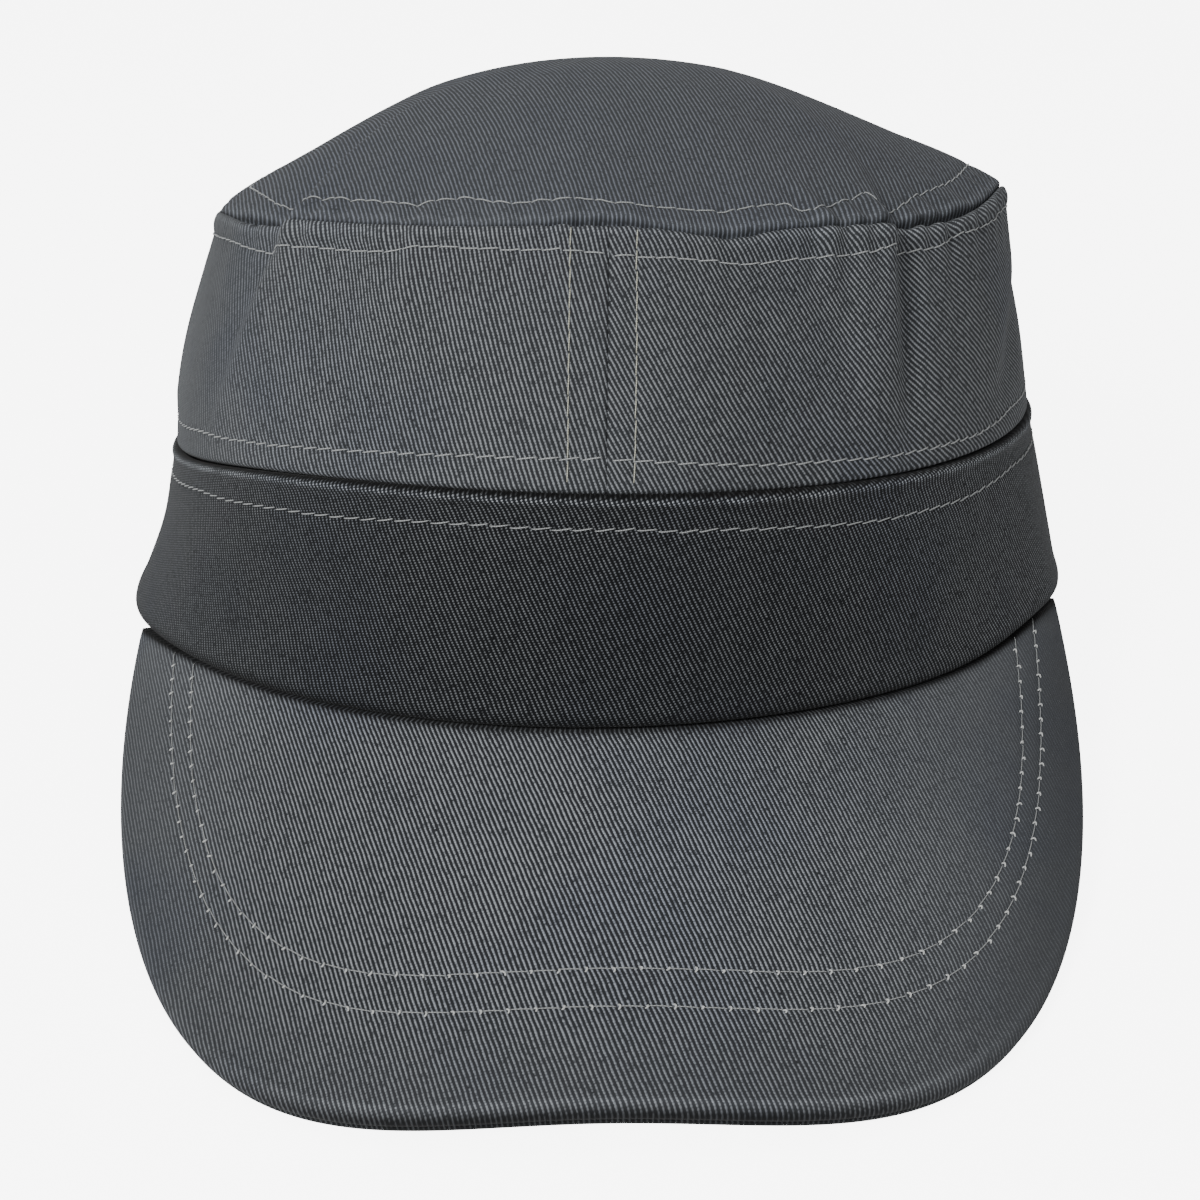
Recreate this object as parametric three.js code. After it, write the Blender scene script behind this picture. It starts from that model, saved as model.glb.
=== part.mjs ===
import * as THREE from 'three';

// A patrol cap in cotton twill: a band round the head, two side panels, a domed crown and a curved peak.
// Lengths are millimetres and angles degrees. Each piece is worked out in the cap's own frame, in which
// the rim lies level: Z points up, the peak points along -Y, and +X is the wearer's left. An angle
// round the head starts at the middle of the forehead and grows towards the wearer's left.
// The finished cap is then tipped until it stands on the back of its rim and the peak's two corners.

// Rim, where the band ends below
const rimWidth = 184.6;
const rimFront = 91.9;
const rimBack = 97;
const rimSideRise = 1;

// Seam between the band and the side panels
const bandSeamWidth = 166.6;
const bandSeamLength = 197.8;
const bandSeamShiftX = 0.6;
const bandSeamShiftY = -0.7;
const bandSeamSideDip = 2.3;
const bandSeamTwist = 1.1;

// Seam between the side panels and the crown, whose two front corners stand out
const topSeamWidth = 149.6;
const topSeamLength = 174.4;
const topSeamShiftX = 2.8;
const topSeamShiftY = 3.9;
const topSeamSideDip = 2.5;
const topSeamTwist = 0.5;
const topSeamCorner = 4;

// Heights of the three levels of cloth, and the side panels' swell, which fades towards the ears
const bandHeight = 40.3;
const sideHeight = 38.8;
const crownRise = 23.5;
const sideBulge = 1.8;
const sideBulgeFade = 0.8;
const crownLeanX = -1;

// How much narrower the head is in front than behind, and how flat the dome is at its middle
const headTaper = 0.032;
const crownFlatness = 2;

// Peak: its length along the middle, its fall, where it ends round the rim, how full its corners are,
// and how far out along it the rim's rises reach
const peakLength = 71.7;
const peakSlope = 24.4;
const peakEndAngle = 73.5;
const peakEndDepth = 0.6;
const peakSideFullness = 3.6;
const peakFrontFullness = 1.62;
const peakRiseReach = 25;

// Cloth walls, the gap that is left between two pieces, and the slack that folds and gathers take
const clothWall = 1.4;
const bandWall = 2.2;
const coverWall = 1.6;
const seamGap = 0.3;
const tuckDepth = 1.8;
const foldDepth = 2.4;
const gatherDepth = 1.5;
const pressDepth = 0.5;

// Steps of the surfaces
const stepsRound = 96;
const bandSteps = 4;
const sideSteps = 6;
const crownSteps = 8;
const peakStepsAcross = 36;
const peakStepsOut = 6;
const normalStep = 0.5;

// How soon folds die out towards a panel's edges, and how near to its edge a wall starts its mitre
const sideFoldFade = 6;
const crownFoldFade = 4;
const mitrePower = 8;

// Folds and dents. Angles give where a fold's foot and head lie round the head, and how wide it is.
// foot and head are shares of the panel's height, or of the crown's radius counted from its edge.
// depth is a share of foldDepth: a ridge is positive and a valley negative.
const folds = {
  band: [
    { footAngle: -38, headAngle: -32, foot: 0.1, head: 0.75, width: 9, depth: -0.4 },
    { footAngle: 66, headAngle: 66, foot: -0.3, head: 0.5, width: 7, depth: 0.35 },
    { footAngle: -80, headAngle: -80, foot: 0, head: 1, width: 20, depth: -0.5 },
  ],
  side: [
    { footAngle: 28, headAngle: 28, foot: 0.1, head: 1.1, width: 4, depth: -0.3 },
    { footAngle: 57, headAngle: 80, foot: 0.05, head: 0.75, width: 6, depth: -0.7 },
    { footAngle: -28, headAngle: -27, foot: 0.5, head: 1.05, width: 3.5, depth: 0.3 },
    { footAngle: -86, headAngle: -90, foot: -0.3, head: 1.1, width: 18, depth: 0.5 },
  ],
  crown: [
    { footAngle: -95, headAngle: -95, foot: -0.1, head: 0.6, width: 22, depth: -1.1 },
    { footAngle: 92, headAngle: 92, foot: -0.1, head: 0.7, width: 24, depth: -1 },
  ],
};

// Creases that cross the top seam at seamAngle and run on towards the other two angles. The cloth steps
// in by twice the depth, a share of foldDepth, within a width of sharpness, and comes back within reach.
const creases = [
  { seamAngle: -48.5, sideAngle: -60, crownAngle: -52, sharpness: 1.6, reach: 14, sideFade: 1.3, depth: 0.75 },
  { seamAngle: 40, sideAngle: 40, crownAngle: 80, sharpness: 1.6, reach: 12, sideFade: 0.6, depth: -0.75 },
];
const crownCreaseFade = 3;
const creaseLift = 0.5;

// Gathers of the rim and of the two seams: where each lies round the head, its width, and how far it
// lifts the edge and pushes it out, as shares of gatherDepth.
const gathers = {
  rim: [
    { angle: 67, width: 15, lift: 2.4, push: 0.5 },
    { angle: 84, width: 16, lift: 0, push: 0.3 },
    { angle: -80, width: 16, lift: -0.7, push: 0.9 },
  ],
  bandSeam: [
    { angle: -84, width: 36, lift: -4.2, push: -0.1 },
    { angle: 84, width: 22, lift: 0, push: 0.55 },
  ],
  topSeam: [
    { angle: -82, width: 9, lift: -0.7, push: 0 },
    { angle: -2, width: 8, lift: 0.6, push: 0 },
    { angle: 13, width: 7, lift: -0.8, push: 0.2 },
    { angle: 56, width: 8, lift: -0.5, push: 0.2 },
    { angle: 65, width: 15, lift: 2.7, push: 0.4 },
  ],
};

const radians = THREE.MathUtils.degToRad;
const turn = 360;

// A bell of height 1 at zero, for a distance given in widths
function bell(distance) {
  return Math.exp(-distance * distance);
}

// The difference of two angles, brought between -180 and 180
function angleApart(a, b) {
  return THREE.MathUtils.euclideanModulo(a - b + turn / 2, turn) - turn / 2;
}

// How far the folds of one level of cloth push its wall out
function foldPush(list, angle, share) {
  let push = 0;
  for (const fold of list) {
    const along = (share - fold.foot) / (fold.head - fold.foot);
    if (along > 0 && along < 1) {
      const middle = fold.footAngle + (fold.headAngle - fold.footAngle) * along;
      const fade = Math.sin(Math.PI * along) ** 2;
      push += fold.depth * foldDepth * fade * bell(angleApart(angle, middle) / fold.width);
    }
  }
  return push;
}

// How far the creases push a side panel's or the crown's wall out. away is 0 at the top seam and grows to 1.
function creasePush(angle, away, onCrown) {
  let push = 0;
  for (const crease of creases) {
    const farAngle = onCrown ? crease.crownAngle : crease.sideAngle;
    const apart = angleApart(angle, crease.seamAngle + (farAngle - crease.seamAngle) * away);
    const fade = (1 - away) ** (onCrown ? crownCreaseFade : crease.sideFade);
    const step = Math.tanh(apart / crease.sharpness) * Math.exp(-Math.abs(apart) / crease.reach);
    push += crease.depth * foldDepth * fade * step;
  }
  return push;
}

// The unit vector that points away from the head at an angle
function outwards(angle) {
  return new THREE.Vector3(Math.sin(radians(angle)), -Math.cos(radians(angle)), 0);
}

const rim = {
  halfWidth: rimWidth / 2, front: rimFront, back: rimBack, x: 0, y: 0, z: 0,
  sideRise: rimSideRise, twist: 0, corner: 0, gathers: gathers.rim,
};
const bandSeam = {
  halfWidth: bandSeamWidth / 2, front: bandSeamLength / 2, back: bandSeamLength / 2,
  x: bandSeamShiftX, y: bandSeamShiftY, z: bandHeight,
  sideRise: -bandSeamSideDip, twist: -bandSeamTwist, corner: 0, gathers: gathers.bandSeam,
};
const topSeam = {
  halfWidth: topSeamWidth / 2, front: topSeamLength / 2, back: topSeamLength / 2,
  x: topSeamShiftX, y: topSeamShiftY, z: bandHeight + sideHeight,
  sideRise: -topSeamSideDip, twist: -topSeamTwist, corner: topSeamCorner,
  gathers: gathers.topSeam,
};

// A point of the rim or of a seam: an egg-shaped oval whose sides rise or dip, with its gathers
function ringPoint(ring, angle) {
  const a = radians(angle);
  const reach = Math.cos(a) > 0 ? ring.front : ring.back;
  const point = new THREE.Vector3(
    ring.x + ring.halfWidth * Math.sin(a) * (1 - headTaper * Math.cos(a)),
    ring.y - reach * Math.cos(a),
    ring.z + ring.sideRise * Math.sin(a) ** 2 + ring.twist * Math.sin(2 * a),
  );
  const cornered = Math.cos(a) > 0 ? Math.sin(2 * a) ** 2 : 0;
  point.addScaledVector(outwards(angle), ring.corner * cornered);
  for (const gather of ring.gathers) {
    const strength = gatherDepth * bell(angleApart(angle, gather.angle) / gather.width);
    point.z += gather.lift * strength;
    point.addScaledVector(outwards(angle), gather.push * strength);
  }
  return point;
}

// The band's outer face, from the rim (share 0) to its seam (share 1)
function bandPoint(angle, share) {
  const point = ringPoint(rim, angle).lerp(ringPoint(bandSeam, angle), share);
  return point.addScaledVector(outwards(angle), foldPush(folds.band, angle, share));
}

// The side panels' outer face, from the band's seam to the top seam
function sidePoint(angle, share) {
  const point = ringPoint(bandSeam, angle).lerp(ringPoint(topSeam, angle), share);
  const swell = share * (1 - share);
  const bulge = sideBulge * (1 - sideBulgeFade * Math.sin(radians(angle)) ** 2);
  const folded = foldPush(folds.side, angle, share) * Math.min(1, sideFoldFade * swell);
  const creased = creasePush(angle, 1 - share, false);
  point.z += creased * creaseLift * share ** mitrePower;
  return point.addScaledVector(outwards(angle), 4 * bulge * swell + folded + creased);
}

// The crown's outer face, from the top seam (share 0) to the middle of the dome (share 1)
function crownPoint(angle, share) {
  const spread = 1 - share;
  const edge = ringPoint(topSeam, angle);
  const folded = foldPush(folds.crown, angle, share) * Math.min(1, crownFoldFade * share);
  const creased = creasePush(angle, share, true);
  const nearSeam = spread ** mitrePower;
  const dome = crownRise * (1 - spread ** crownFlatness) + folded + creased * (1 - (1 - creaseLift) * nearSeam);
  const point = new THREE.Vector3(
    topSeam.x + (edge.x - topSeam.x) * spread + crownLeanX * (1 - spread ** 2),
    topSeam.y + (edge.y - topSeam.y) * spread,
    topSeam.z + (edge.z - topSeam.z) * spread ** 2 + dome,
  );
  return point.addScaledVector(outwards(angle), creased * nearSeam);
}

// The angle round the rim at which its outer edge has a given x, found by trying again from the last guess
function rimAngleAt(x) {
  const guesses = 12;
  const widest = 0.9999;
  let a = 0;
  for (let guess = 0; guess < guesses; guess += 1) {
    const reach = rim.halfWidth * (1 - headTaper * Math.cos(a));
    a = Math.asin(THREE.MathUtils.clamp(x / reach, -widest, widest));
  }
  return THREE.MathUtils.radToDeg(a);
}

// The peak's upper face over a point of the plan: straight lines fall forward from the rim, whose rises
// die out along them
function peakHeight(x, y) {
  const edge = ringPoint(rim, rimAngleAt(x));
  const ahead = edge.y - y;
  const rise = edge.z * Math.exp(-Math.max(0, ahead) / peakRiseReach);
  return rise - seamGap - Math.tan(radians(peakSlope)) * ahead;
}

// The peak's outline in plan. across runs from -1 at one end to 1 at the other.
function peakOutline(across) {
  const end = ringPoint(rim, peakEndAngle);
  const tipY = -rimFront - peakLength * Math.cos(radians(peakSlope));
  const endY = end.y - peakEndDepth;
  const a = (Math.PI / 2) * Math.abs(across) ** (peakSideFullness / 2);
  return new THREE.Vector2(
    Math.sign(across) * end.x * Math.sin(a) ** (2 / peakSideFullness),
    endY + (tipY - endY) * Math.max(0, Math.cos(a)) ** (2 / peakFrontFullness),
  );
}

// A point of the peak's upper face: out is 0 under the band's edge and 1 at the outline
function peakPoint(across, out) {
  const inner = ringPoint(rim, across * peakEndAngle);
  const outline = peakOutline(across);
  const x = THREE.MathUtils.lerp(inner.x, outline.x, out);
  const y = THREE.MathUtils.lerp(inner.y, outline.y, out);
  return new THREE.Vector3(x, y, peakHeight(x, y));
}

// The peak's upward normal, from two short steps along its surface
function peakNormal(x, y) {
  const step = normalStep;
  const here = peakHeight(x, y);
  const slopeX = (peakHeight(x + step, y) - peakHeight(x - step, y)) / (2 * step);
  const slopeY = (here - peakHeight(x, y - step)) / step;
  return new THREE.Vector3(-slopeX, -slopeY, 1).normalize();
}

// The peak lies in layers under its upper face. Row 0 is the strip that is tucked under the band.
function peakLayerPoint(across, row, depth) {
  const out = Math.max(0, row - 1) / peakStepsOut;
  const point = peakPoint(across, out);
  const normal = peakNormal(point.x, point.y);
  if (row === 0) point.addScaledVector(outwards(across * peakEndAngle), -tuckDepth);
  return point.addScaledVector(normal, -depth);
}

// How far the cap tips back: the steepest line from the back of the rim to the underside of the peak
const peakThickness = 2 * coverWall + seamGap;
const heel = ringPoint(rim, turn / 2);
let restTilt = 0;
for (let step = 0; step <= peakStepsAcross; step += 1) {
  const across = (2 * step) / peakStepsAcross - 1;
  const toe = peakLayerPoint(across, peakStepsOut + 1, peakThickness);
  restTilt = Math.max(restTilt, Math.atan2(heel.z - toe.z, heel.y - toe.y));
}

// The surface that the cap stands on, in the cap's own frame. Cloth that reaches it is pressed flat.
const floorUp = new THREE.Vector3(0, -Math.sin(restTilt), Math.cos(restTilt));
const floorLevel = heel.dot(floorUp) + pressDepth;

function pressed(point) {
  const below = floorLevel - point.dot(floorUp);
  return below > 0 ? point.addScaledVector(floorUp, below) : point;
}

// A closed wall between an outer and an inner grid of points, both with rows from foot to head.
// wraps joins the last column to the first, and pole closes the head over its middle.
function wallGeometry(outer, inner, { wraps = false, pole = false } = {}) {
  const rows = outer.length;
  const columns = outer[0].length;
  const points = [];
  const triangles = [];
  const place = (grid) => grid.map((row) => row.map((point) => points.push(pressed(point)) - 1));
  const face = (a, b, c, d) => triangles.push(a, b, c, a, c, d);
  const outside = place(outer);
  const inside = place(inner);
  const lastColumn = wraps ? columns : columns - 1;
  for (let i = 0; i < lastColumn; i += 1) {
    const j = (i + 1) % columns;
    for (let r = 0; r < rows - 1; r += 1) {
      face(outside[r][i], outside[r][j], outside[r + 1][j], outside[r + 1][i]);
      face(inside[r][j], inside[r][i], inside[r + 1][i], inside[r + 1][j]);
    }
    face(inside[0][i], inside[0][j], outside[0][j], outside[0][i]);
    if (!pole) {
      const top = rows - 1;
      face(outside[top][i], outside[top][j], inside[top][j], inside[top][i]);
    }
  }
  if (!wraps) {
    const end = columns - 1;
    for (let r = 0; r < rows - 1; r += 1) {
      face(inside[r][0], outside[r][0], outside[r + 1][0], inside[r + 1][0]);
      face(outside[r][end], inside[r][end], inside[r + 1][end], outside[r + 1][end]);
    }
  }
  if (pole) {
    const outerPole = points.push(pole.outer) - 1;
    const innerPole = points.push(pole.inner) - 1;
    for (let i = 0; i < columns; i += 1) {
      const j = (i + 1) % columns;
      triangles.push(outside[rows - 1][i], outside[rows - 1][j], outerPole);
      triangles.push(inside[rows - 1][j], inside[rows - 1][i], innerPole);
    }
  }
  const geometry = new THREE.BufferGeometry();
  geometry.setAttribute('position', new THREE.Float32BufferAttribute(points.flatMap((p) => p.toArray()), 3));
  geometry.setIndex(triangles);
  geometry.computeVertexNormals();
  return geometry;
}

// Rows of points: one row for each share, one column for each angle or place across
function grid(shares, columns, pointAt) {
  return shares.map((share) => columns.map((column) => pointAt(column, share)));
}

function spread(from, to, steps) {
  return Array.from({ length: steps + 1 }, (_, i) => from + ((to - from) * i) / steps);
}

function buildBand() {
  const angles = spread(0, turn, stepsRound).slice(0, -1);
  const shares = spread(0, 1, bandSteps);
  const wallIn = (angle, share) => bandPoint(angle, share).addScaledVector(outwards(angle), -bandWall);
  return wallGeometry(grid(shares, angles, bandPoint), grid(shares, angles, wallIn), { wraps: true });
}

// At the top seam the walls of the side panels and of the crown meet in a mitre
function mitre(nearness) {
  return clothWall * nearness ** mitrePower;
}

function buildSidePanel(from, to) {
  const halfGap = THREE.MathUtils.radToDeg(seamGap / bandSeamLength);
  const angles = spread(from + halfGap, to - halfGap, stepsRound / 2);
  const shares = spread(seamGap / sideHeight, 1 - (Math.SQRT2 * seamGap) / sideHeight, sideSteps);
  const wallIn = (angle, share) => {
    const point = sidePoint(angle, share).addScaledVector(outwards(angle), -clothWall);
    point.z -= mitre(share);
    return point;
  };
  return wallGeometry(grid(shares, angles, sidePoint), grid(shares, angles, wallIn));
}

function buildCrown() {
  const angles = spread(0, turn, stepsRound).slice(0, -1);
  const shares = spread(0, 1, crownSteps).slice(0, -1);
  const wallIn = (angle, share) => {
    const point = crownPoint(angle, share).addScaledVector(outwards(angle), -mitre(1 - share));
    point.z -= clothWall;
    return point;
  };
  const outer = crownPoint(0, 1);
  const inner = wallIn(0, 1);
  return wallGeometry(grid(shares, angles, crownPoint), grid(shares, angles, wallIn), {
    wraps: true,
    pole: { outer, inner },
  });
}

// A cover of the peak: its rows run from the tucked strip out to the outline
function buildPeakCover(depth) {
  const places = spread(-1, 1, peakStepsAcross);
  const rows = spread(0, peakStepsOut + 1, peakStepsOut + 1).reverse();
  const upper = grid(rows, places, (across, row) => peakLayerPoint(across, row, depth));
  const lower = grid(rows, places, (across, row) => peakLayerPoint(across, row, depth + coverWall));
  return wallGeometry(upper, lower);
}

function twill(colour) {
  return new THREE.MeshStandardMaterial({ color: colour, roughness: 0.92, metalness: 0, side: THREE.DoubleSide });
}

const panelTwill = twill(0x5b5e62);
const bandTwill = twill(0x434547);
const peakTwill = twill(0x5c6065);

const pieces = [
  ['band', buildBand(), bandTwill],
  ['side_panel_left', buildSidePanel(0, turn / 2), panelTwill],
  ['side_panel_right', buildSidePanel(-turn / 2, 0), panelTwill],
  ['crown_top', buildCrown(), panelTwill],
  ['peak_upper', buildPeakCover(0), peakTwill],
  ['peak_lower', buildPeakCover(coverWall + seamGap), peakTwill],
];

const tipped = new THREE.Group();
tipped.rotation.x = -restTilt;
for (const [name, geometry, material] of pieces) {
  const mesh = new THREE.Mesh(geometry, material);
  mesh.name = name;
  tipped.add(mesh);
}

// The origin is under the middle of the standing cap
const cap = new THREE.Group();
cap.add(tipped);
cap.updateMatrixWorld(true);
const extent = new THREE.Box3().setFromObject(cap, true);
const middle = extent.getCenter(new THREE.Vector3());
tipped.position.set(-middle.x, -middle.y, -extent.min.z);

export default cap;
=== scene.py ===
# A patrol cap in charcoal cotton twill that stands on a table: a band, two side panels, a domed crown
# and a stiff peak of two covers, with their rolled seams, gathers and rows of stitches.

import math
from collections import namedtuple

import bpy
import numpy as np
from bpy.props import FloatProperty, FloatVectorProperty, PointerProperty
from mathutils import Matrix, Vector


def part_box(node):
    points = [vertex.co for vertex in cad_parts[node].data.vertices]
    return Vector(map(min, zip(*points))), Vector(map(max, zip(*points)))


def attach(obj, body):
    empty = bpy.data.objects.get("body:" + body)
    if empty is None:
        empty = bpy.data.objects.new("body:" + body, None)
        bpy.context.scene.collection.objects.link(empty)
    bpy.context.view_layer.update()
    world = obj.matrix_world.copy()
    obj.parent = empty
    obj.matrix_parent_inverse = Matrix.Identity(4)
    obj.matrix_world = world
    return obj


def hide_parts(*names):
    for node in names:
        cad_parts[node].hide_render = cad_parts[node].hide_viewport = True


bl_info = {
    "name": "Patrol cap",
    "version": (1, 0, 0),
    "blender": (4, 5, 0),
    "location": "3D View > Sidebar > Cap",
    "description": "Builds a twill patrol cap with its seams and stitches, and a studio for it",
    "category": "Add Mesh",
}

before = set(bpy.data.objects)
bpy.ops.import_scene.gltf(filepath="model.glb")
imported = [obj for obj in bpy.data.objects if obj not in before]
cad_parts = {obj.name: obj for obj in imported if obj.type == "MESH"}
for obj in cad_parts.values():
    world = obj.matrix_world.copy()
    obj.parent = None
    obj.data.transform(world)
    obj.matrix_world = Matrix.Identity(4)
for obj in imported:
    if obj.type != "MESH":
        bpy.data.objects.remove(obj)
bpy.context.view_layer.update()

MM = 0.001
BODY = "root"
HALF_TURN = 180.0
FULL_TURN = 360.0

# Steps of the cloth's outer and inner faces, and how much closer the rows lie at the edges
COLUMNS = 900
WALL_ROWS = 76
WALL_CROWDING = 0.86
CROWN_ROWS = 84
CROWN_CROWDING = 0.8
INNER_ROWS = 12
PEAK_COLUMNS = 420
PEAK_ROWS = 150
PEAK_CROWDING = 0.94
THREAD_SIDES = 6
THREAD_STATIONS = 7


def length(name, millimetres, text):
    """A length property, given here in millimetres and held in metres."""
    return FloatProperty(name=name, description=text, default=millimetres * MM, unit="LENGTH", precision=5)


def angle_property(name, degrees, text):
    """An angle property, given here in degrees and held in radians."""
    return FloatProperty(name=name, description=text, default=math.radians(degrees), unit="ROTATION")


def share_property(name, default, text):
    """A plain number."""
    return FloatProperty(name=name, description=text, default=default)


def colour(name, rgb, text):
    """A linear colour."""
    return FloatVectorProperty(name=name, description=text, default=rgb, subtype="COLOR", size=3,
                               min=0, max=1)


class CapSizes(bpy.types.PropertyGroup):
    """Sizes of the cap, in its own frame with the rim level and the peak along -Y."""

    rim_width: length("Rim width", 184.6, "Width of the band's lower edge")
    rim_front: length("Rim front", 91.9, "Reach of the rim in front of the middle of the head")
    rim_back: length("Rim back", 97.0, "Reach of the rim behind the middle of the head")
    rim_side_rise: length("Rim side rise", 1.0, "How far the rim rises at the sides")
    low_seam_width: length("Band seam width", 166.6, "Width of the seam over the band")
    low_seam_length: length("Band seam length", 197.8, "Length of the seam over the band")
    low_seam_x: length("Band seam shift", 0.6, "Sideways shift of the seam over the band")
    low_seam_y: length("Band seam place", -0.7, "Shift of the seam over the band to the back")
    low_seam_dip: length("Band seam dip", 2.3, "How far the seam over the band dips at the sides")
    low_seam_twist: length("Band seam twist", 1.1, "Uneven height of the seam over the band")
    top_seam_width: length("Top seam width", 149.6, "Width of the crown")
    top_seam_length: length("Top seam length", 174.4, "Length of the crown")
    top_seam_x: length("Top seam shift", 2.8, "Sideways shift of the crown")
    top_seam_y: length("Top seam place", 3.9, "Shift of the crown to the back")
    top_seam_dip: length("Top seam dip", 2.5, "How far the top seam dips at the sides")
    top_seam_twist: length("Top seam twist", 0.5, "Uneven height of the top seam")
    top_seam_corner: length("Top seam corners", 4.0, "How far the crown's two front corners stand out")
    crease_lift: share_property("Crease lift", 0.5, "Upward share of a crease's step at the top seam")
    band_height: length("Band height", 40.3, "Height of the band")
    side_height: length("Side height", 38.8, "Height of the side panels")
    side_bulge: length("Side bulge", 1.8, "How far the side panels swell out")
    side_bulge_fade: share_property("Side bulge fade", 0.8, "Share of the swell lost towards the ears")
    crown_rise: length("Crown rise", 23.5, "Height of the dome over the top seam")
    crown_lean: length("Crown lean", -1.0, "Sideways shift of the dome's middle")
    crown_flatness: share_property("Crown flatness", 2.0, "Power of the dome's profile")
    head_taper: share_property("Head taper", 0.032, "How much narrower the head is in front")
    peak_length: length("Peak length", 71.7, "Length of the peak along its middle")
    peak_slope: angle_property("Peak slope", 24.4, "Fall of the peak from the rim's plane")
    peak_end_angle: share_property("Peak end", 73.5, "Degrees round the rim at which the peak ends")
    peak_end_depth: length("Peak end depth", 0.6, "Depth of the peak's blunt ends")
    peak_side_fullness: share_property("Peak side fullness", 3.6, "Power of the outline at the sides")
    peak_front_fullness: share_property("Peak front fullness", 1.62, "Power of the outline in front")
    peak_rise_reach: length("Peak rise reach", 25.0, "How far out along the peak the rim's rises reach")
    cloth_wall: length("Cloth wall", 1.4, "Thickness of the crown and side panels with their allowances")
    band_wall: length("Band wall", 2.2, "Thickness of the doubled band")
    cover_wall: length("Cover wall", 1.6, "Thickness of each cover of the peak")
    seam_gap: length("Seam gap", 0.3, "Gap between two pieces")
    tuck_depth: length("Tuck depth", 1.8, "How far the peak reaches in under the band")
    fold_depth: length("Fold depth", 2.4, "Depth of a full fold")
    gather_depth: length("Gather depth", 1.5, "Depth of a full gather of the top seam")
    stand_shift: length("Stand shift", 0.226, "Sideways shift that puts the standing cap's middle at zero")
    press_depth: length("Press depth", 0.5, "How far the cloth is pressed flat where it rests")
    seam_depth: length("Seam depth", 1.2, "Depth of the groove in which two panels meet")
    foot_depth: length("Foot depth", 2.0, "How deep the side panels tuck in behind the band's edge")
    row_sink: length("Row sink", 0.28, "How far a row of stitches pulls the cloth in")
    stitch_length: length("Stitch length", 3.3, "Length of a stitch")
    peak_stitch_length: length("Peak stitch length", 3.9, "Length of a stitch on the peak")
    thread_radius: length("Thread radius", 0.12, "Half the thickness of the sewing thread")
    front_row_right: length("Front row right", 6.1, "From the front seam to the row on the wearer's right")
    front_row_left: length("Front row left", 4.3, "From the front seam to the row on the wearer's left")
    twill_pitch: length("Twill pitch", 0.72, "Distance between two ridges of the twill")


class CapColours(bpy.types.PropertyGroup):
    """Colours of the cloth and thread, and of the studio's floor."""

    ridge: colour("Ridge", (0.165, 0.175, 0.185), "Raised yarns of the twill")
    valley: colour("Valley", (0.004, 0.0045, 0.0055), "Dark lines between the twill's ridges")
    tint: colour("Tint", (0.105, 0.118, 0.15), "Bluish tint of worn patches")
    thread: colour("Thread", (0.26, 0.27, 0.27), "Grey sewing thread")
    knot: colour("Knot", (0.46, 0.47, 0.46), "Knots of the rows on the peak")
    pale_thread: colour("Pale thread", (0.36, 0.36, 0.29), "Paler thread of the front seam")
    floor: colour("Floor", (0.9, 0.9, 0.9), "Studio floor")


class CapStudio(bpy.types.PropertyGroup):
    """The camera, as seen from the cap's own frame."""

    target_height: length("Target height", 50.0, "Height over the rim of the point that the camera circles")
    distance: length("Distance", 388.4, "Distance of the camera from that point")
    elevation: angle_property("Elevation", 8.80, "Elevation of the camera over the rim's plane")
    azimuth: angle_property("Azimuth", -0.31, "Turn of the camera to the wearer's left")
    pitch: angle_property("Pitch", -7.92, "How far the camera looks below that point")
    yaw: angle_property("Yaw", 0.07, "How far the camera looks to the right of that point")
    roll: angle_property("Roll", -0.63, "Roll of the camera")
    lens: share_property("Lens", 57.94, "Focal length for a sensor 36 mm wide")


# A fold or dent: the angle round the head of its foot and head, the shares of the panel at which it
# starts and ends, its width in degrees, and its depth as a share of the fold depth.
Fold = namedtuple("Fold", "foot_angle head_angle foot head width depth")

BAND_FOLDS = (
    Fold(-38, -32, 0.1, 0.75, 9, -0.4),
    Fold(66, 66, -0.3, 0.5, 7, 0.35),
    Fold(-80, -80, 0.0, 1.0, 20, -0.5),
)
SIDE_FOLDS = (
    Fold(27.5, 27.5, 0.1, 1.1, 3.5, -0.35),
    Fold(32, 32, 0.0, 1.1, 4, 0.25),
    Fold(37, 38.5, -0.1, 1.2, 2.6, -0.6),
    Fold(57, 80, 0.05, 0.75, 6, -0.7),
    Fold(-26, -25, 0.45, 1.1, 3.5, 0.4),
    Fold(-38, -34, 0.3, 1.1, 5, -0.25),
    Fold(-86, -90, -0.3, 1.1, 18, 0.9),
)
CROWN_FOLDS = (
    Fold(-95, -95, -0.1, 0.6, 22, -0.8),
    Fold(92, 92, -0.1, 0.7, 24, -1.3),
)

# A crease across the top seam: the angle at which it crosses, the angles towards which it runs on down
# the side panel and up the crown, how sharp it is and how far its step reaches in degrees, the power
# with which it fades down the side, and half its step as a share of the fold depth.
Crease = namedtuple("Crease", "seam_angle side_angle crown_angle sharpness reach side_fade depth")

CREASES = (
    Crease(-43.5, -58.5, -65, 1.4, 14, 1.3, 0.95),
    Crease(36, 37.5, 67, 1.4, 12, 1.0, -0.7),
)
CROWN_CREASE_FADE = 3

# The front seam leans: its angle at the band and the angle through which it turns up to the crown
FRONT_SEAM_START = 0.33
FRONT_SEAM_LEAN = 0.9
NEAR_SEAM_POWER = 8

# A gather of the rim or of a seam: its place round the head and width in degrees, and how far it lifts
# the edge and pushes it out, as shares of the gather depth.
Gather = namedtuple("Gather", "angle width lift push")

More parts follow.
